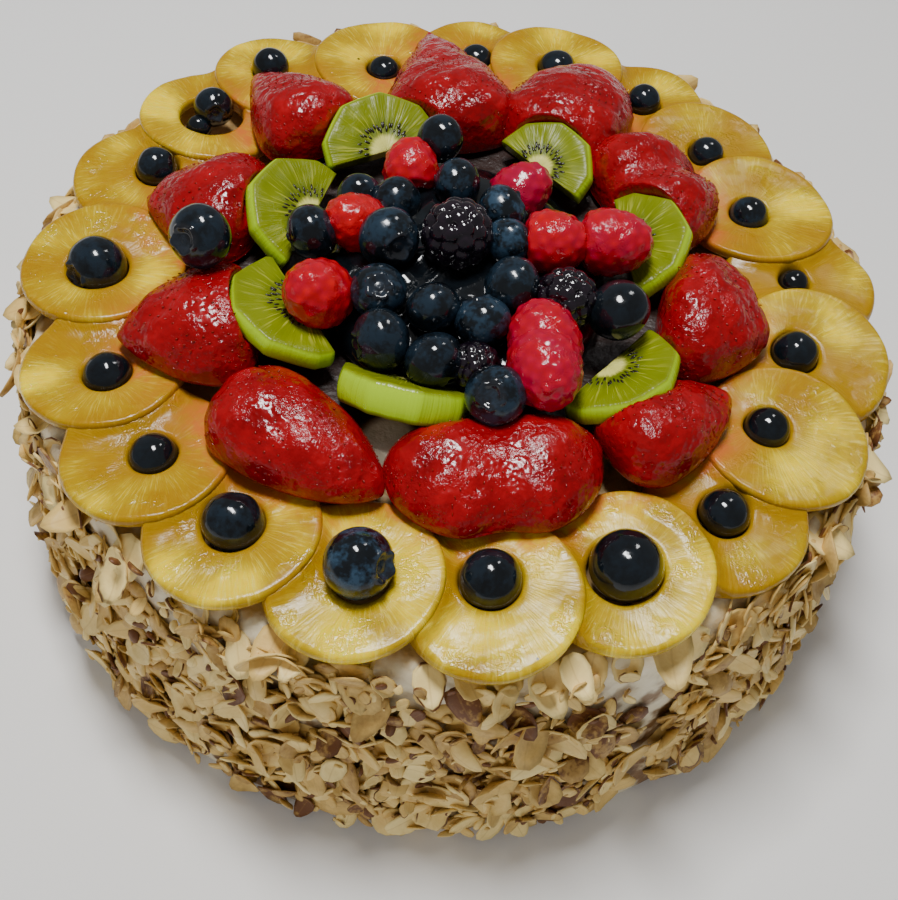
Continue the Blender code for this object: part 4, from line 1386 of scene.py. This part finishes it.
class FRUITCAKE_OT_blueberries(bpy.types.Operator):
    """Make the blueberries in the rings and the loose one"""

    bl_idname = "fruitcake.blueberries"
    bl_label = "Blueberries"

    def execute(self, context):
        look = blueberry_finish(context.scene.fruit_cake.blueberry)
        skins = (hole_berry_skins(index) for index in range(len(HOLE_BERRIES)))
        put_numbered("hole_berry", "ring_blueberry", skins, look, BERRY_CHANNELS)
        *place, radius, bloom, spin, rise = LOOSE_BERRY
        loose = [berry_skin(radius, place, spin, rise, BERRY_FLAT, bloom)]
        put_piece("loose_berry", loose, look, ["loose_blueberry"], BERRY_CHANNELS)
        return {"FINISHED"}


class FRUITCAKE_OT_strawberries(bpy.types.Operator):
    """Make the halved strawberries"""

    bl_idname = "fruitcake.strawberries"
    bl_label = "Strawberries"

    def execute(self, context):
        look = strawberry_finish(context.scene.fruit_cake.strawberry)
        skins = (strawberry_skin(index) for index in range(len(STRAWBERRIES)))
        channels = (("achene", 1),)
        put_numbered("strawberry", "strawberry_half", skins, look, channels)
        return {"FINISHED"}


class FRUITCAKE_OT_kiwi_slices(bpy.types.Operator):
    """Make the half slices of kiwi and their seeds"""

    bl_idname = "fruitcake.kiwi_slices"
    bl_label = "Kiwi slices"

    def execute(self, context):
        given = context.scene.fruit_cake.kiwi
        look = kiwi_finish(given)
        skins = ([kiwi_skin(index)] for index in range(len(KIWIS)))
        channels = (("slice", 3), ("rim", 1))
        put_numbered("kiwi_slice", "kiwi_half_slice", skins, look, channels)
        put_piece("kiwi_seeds", kiwi_seeds(), kiwi_seed_finish(given))
        return {"FINISHED"}


class FRUITCAKE_OT_berry_heap(bpy.types.Operator):
    """Make the heap of blueberries, raspberries and brambles"""

    bl_idname = "fruitcake.berry_heap"
    bl_label = "Berry heap"

    def execute(self, context):
        given = context.scene.fruit_cake
        # The core takes the blueberry finish with no bloom: near-black, partly berries and partly
        # painted shade between the heap's berries.
        blue = [core_skin()]
        for *place, radius, bloom, spin, rise in BLUEBERRIES:
            blue.append(berry_skin(radius, place, spin, rise, BERRY_FLAT, bloom))
        red = [raspberry_skin(*row) for row in RASPBERRIES]
        black = [bramble_skin(number, *row) for number, row in enumerate(BRAMBLES)]
        channels = (("deep", 1), ("pink", 1), ("hollow", 1))
        for name, skins, look, values in (
            ("heap_blueberries", blue, blueberry_finish(given.blueberry), BERRY_CHANNELS),
            ("heap_raspberries", red, raspberry_finish(given.heap), channels),
            ("heap_brambles", black, bramble_finish(given.heap), ()),
        ):
            put_piece(name, skins, look, ["berry_heap"], values)
        return {"FINISHED"}


class FRUITCAKE_OT_stage(bpy.types.Operator):
    """Make the floor, the lights and the camera"""

    bl_idname = "fruitcake.stage"
    bl_label = "Stage"

    def execute(self, context):
        given = context.scene.fruit_cake.stage
        half = given.floor_size / 2
        sides = ((-half, -half), (half, -half), (half, half), (-half, half))
        mesh = bpy.data.meshes.new("floor")
        mesh.from_pydata([(x, y, -FLOOR_DROP) for x, y in sides], [], [(0, 1, 2, 3)])
        mesh.materials.append(floor_finish(given))
        floor = bpy.data.objects.new("floor", mesh)
        context.scene.collection.objects.link(floor)
        floor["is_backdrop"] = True
        for name, power, place, size, aim, lit, mirrored in LIGHTS:
            light = bpy.data.lights.new(name, "AREA")
            light.shape = "RECTANGLE"
            light.energy = getattr(given, power)
            light.size, light.size_y = size
            lamp = bpy.data.objects.new(name, light)
            lamp.visible_diffuse, lamp.visible_glossy = lit, mirrored
            context.scene.collection.objects.link(lamp)
            turn = (Vector(place) - Vector((0, 0, aim))).to_track_quat("Z", "Y").to_matrix()
            lamp.matrix_world = Matrix.Translation(place) @ turn.to_4x4()
        world = bpy.data.worlds.new("Soft sky")
        context.scene.world = world
        world.use_nodes = True
        background = world.node_tree.nodes["Background"]
        background.inputs["Color"].default_value = (1, 1, 1, 1)
        background.inputs["Strength"].default_value = given.sky
        camera = bpy.data.objects.new("Camera", bpy.data.cameras.new("Camera"))
        context.scene.collection.objects.link(camera)
        camera.data.sensor_width, camera.data.lens = CAMERA_SENSOR, CAMERA_LENS
        camera.data.clip_start, camera.data.clip_end = CLIP_START, CLIP_END
        camera.matrix_world = Matrix.Translation(CAMERA_PLACE) @ Matrix(CAMERA_AXES).to_4x4()
        context.scene.camera = camera
        return {"FINISHED"}


class FRUITCAKE_PT_panel(bpy.types.Panel):
    """Lists the pieces of the cake"""

    bl_idname = "FRUITCAKE_PT_panel"
    bl_label = "Fresh fruit cake"
    bl_space_type = "VIEW_3D"
    bl_region_type = "UI"
    bl_category = "Fruit cake"

    def draw(self, context):
        for operator, group in PIECES:
            self.layout.operator(operator.bl_idname)
            settings = getattr(context.scene.fruit_cake, group)
            for name in settings.__annotations__:
                self.layout.prop(settings, name)


PIECES = (
    (FRUITCAKE_OT_cream_body, "cream"),
    (FRUITCAKE_OT_almond_flakes, "almond"),
    (FRUITCAKE_OT_pineapple_rings, "pineapple"),
    (FRUITCAKE_OT_blueberries, "blueberry"),
    (FRUITCAKE_OT_strawberries, "strawberry"),
    (FRUITCAKE_OT_kiwi_slices, "kiwi"),
    (FRUITCAKE_OT_berry_heap, "heap"),
    (FRUITCAKE_OT_stage, "stage"),
)
CLASSES = (
    CreamSettings,
    AlmondSettings,
    PineappleSettings,
    BlueberrySettings,
    StrawberrySettings,
    KiwiSettings,
    HeapSettings,
    StageSettings,
    FruitCakeSettings,
    *(operator for operator, _ in PIECES),
    FRUITCAKE_PT_panel,
)


def register():
    for made in CLASSES:
        bpy.utils.register_class(made)
    bpy.types.Scene.fruit_cake = PointerProperty(type=FruitCakeSettings)


def unregister():
    del bpy.types.Scene.fruit_cake
    for made in reversed(CLASSES):
        bpy.utils.unregister_class(made)


def main():
    register()
    for operator, _ in PIECES:
        group, name = operator.bl_idname.split(".")
        getattr(getattr(bpy.ops, group), name)()
    sizes = {"solids": SOLID_BOX, "look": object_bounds()}
    plain = {name: [list(corner) for corner in box] for name, box in sizes.items()}


if __name__ == "__main__":
    main()
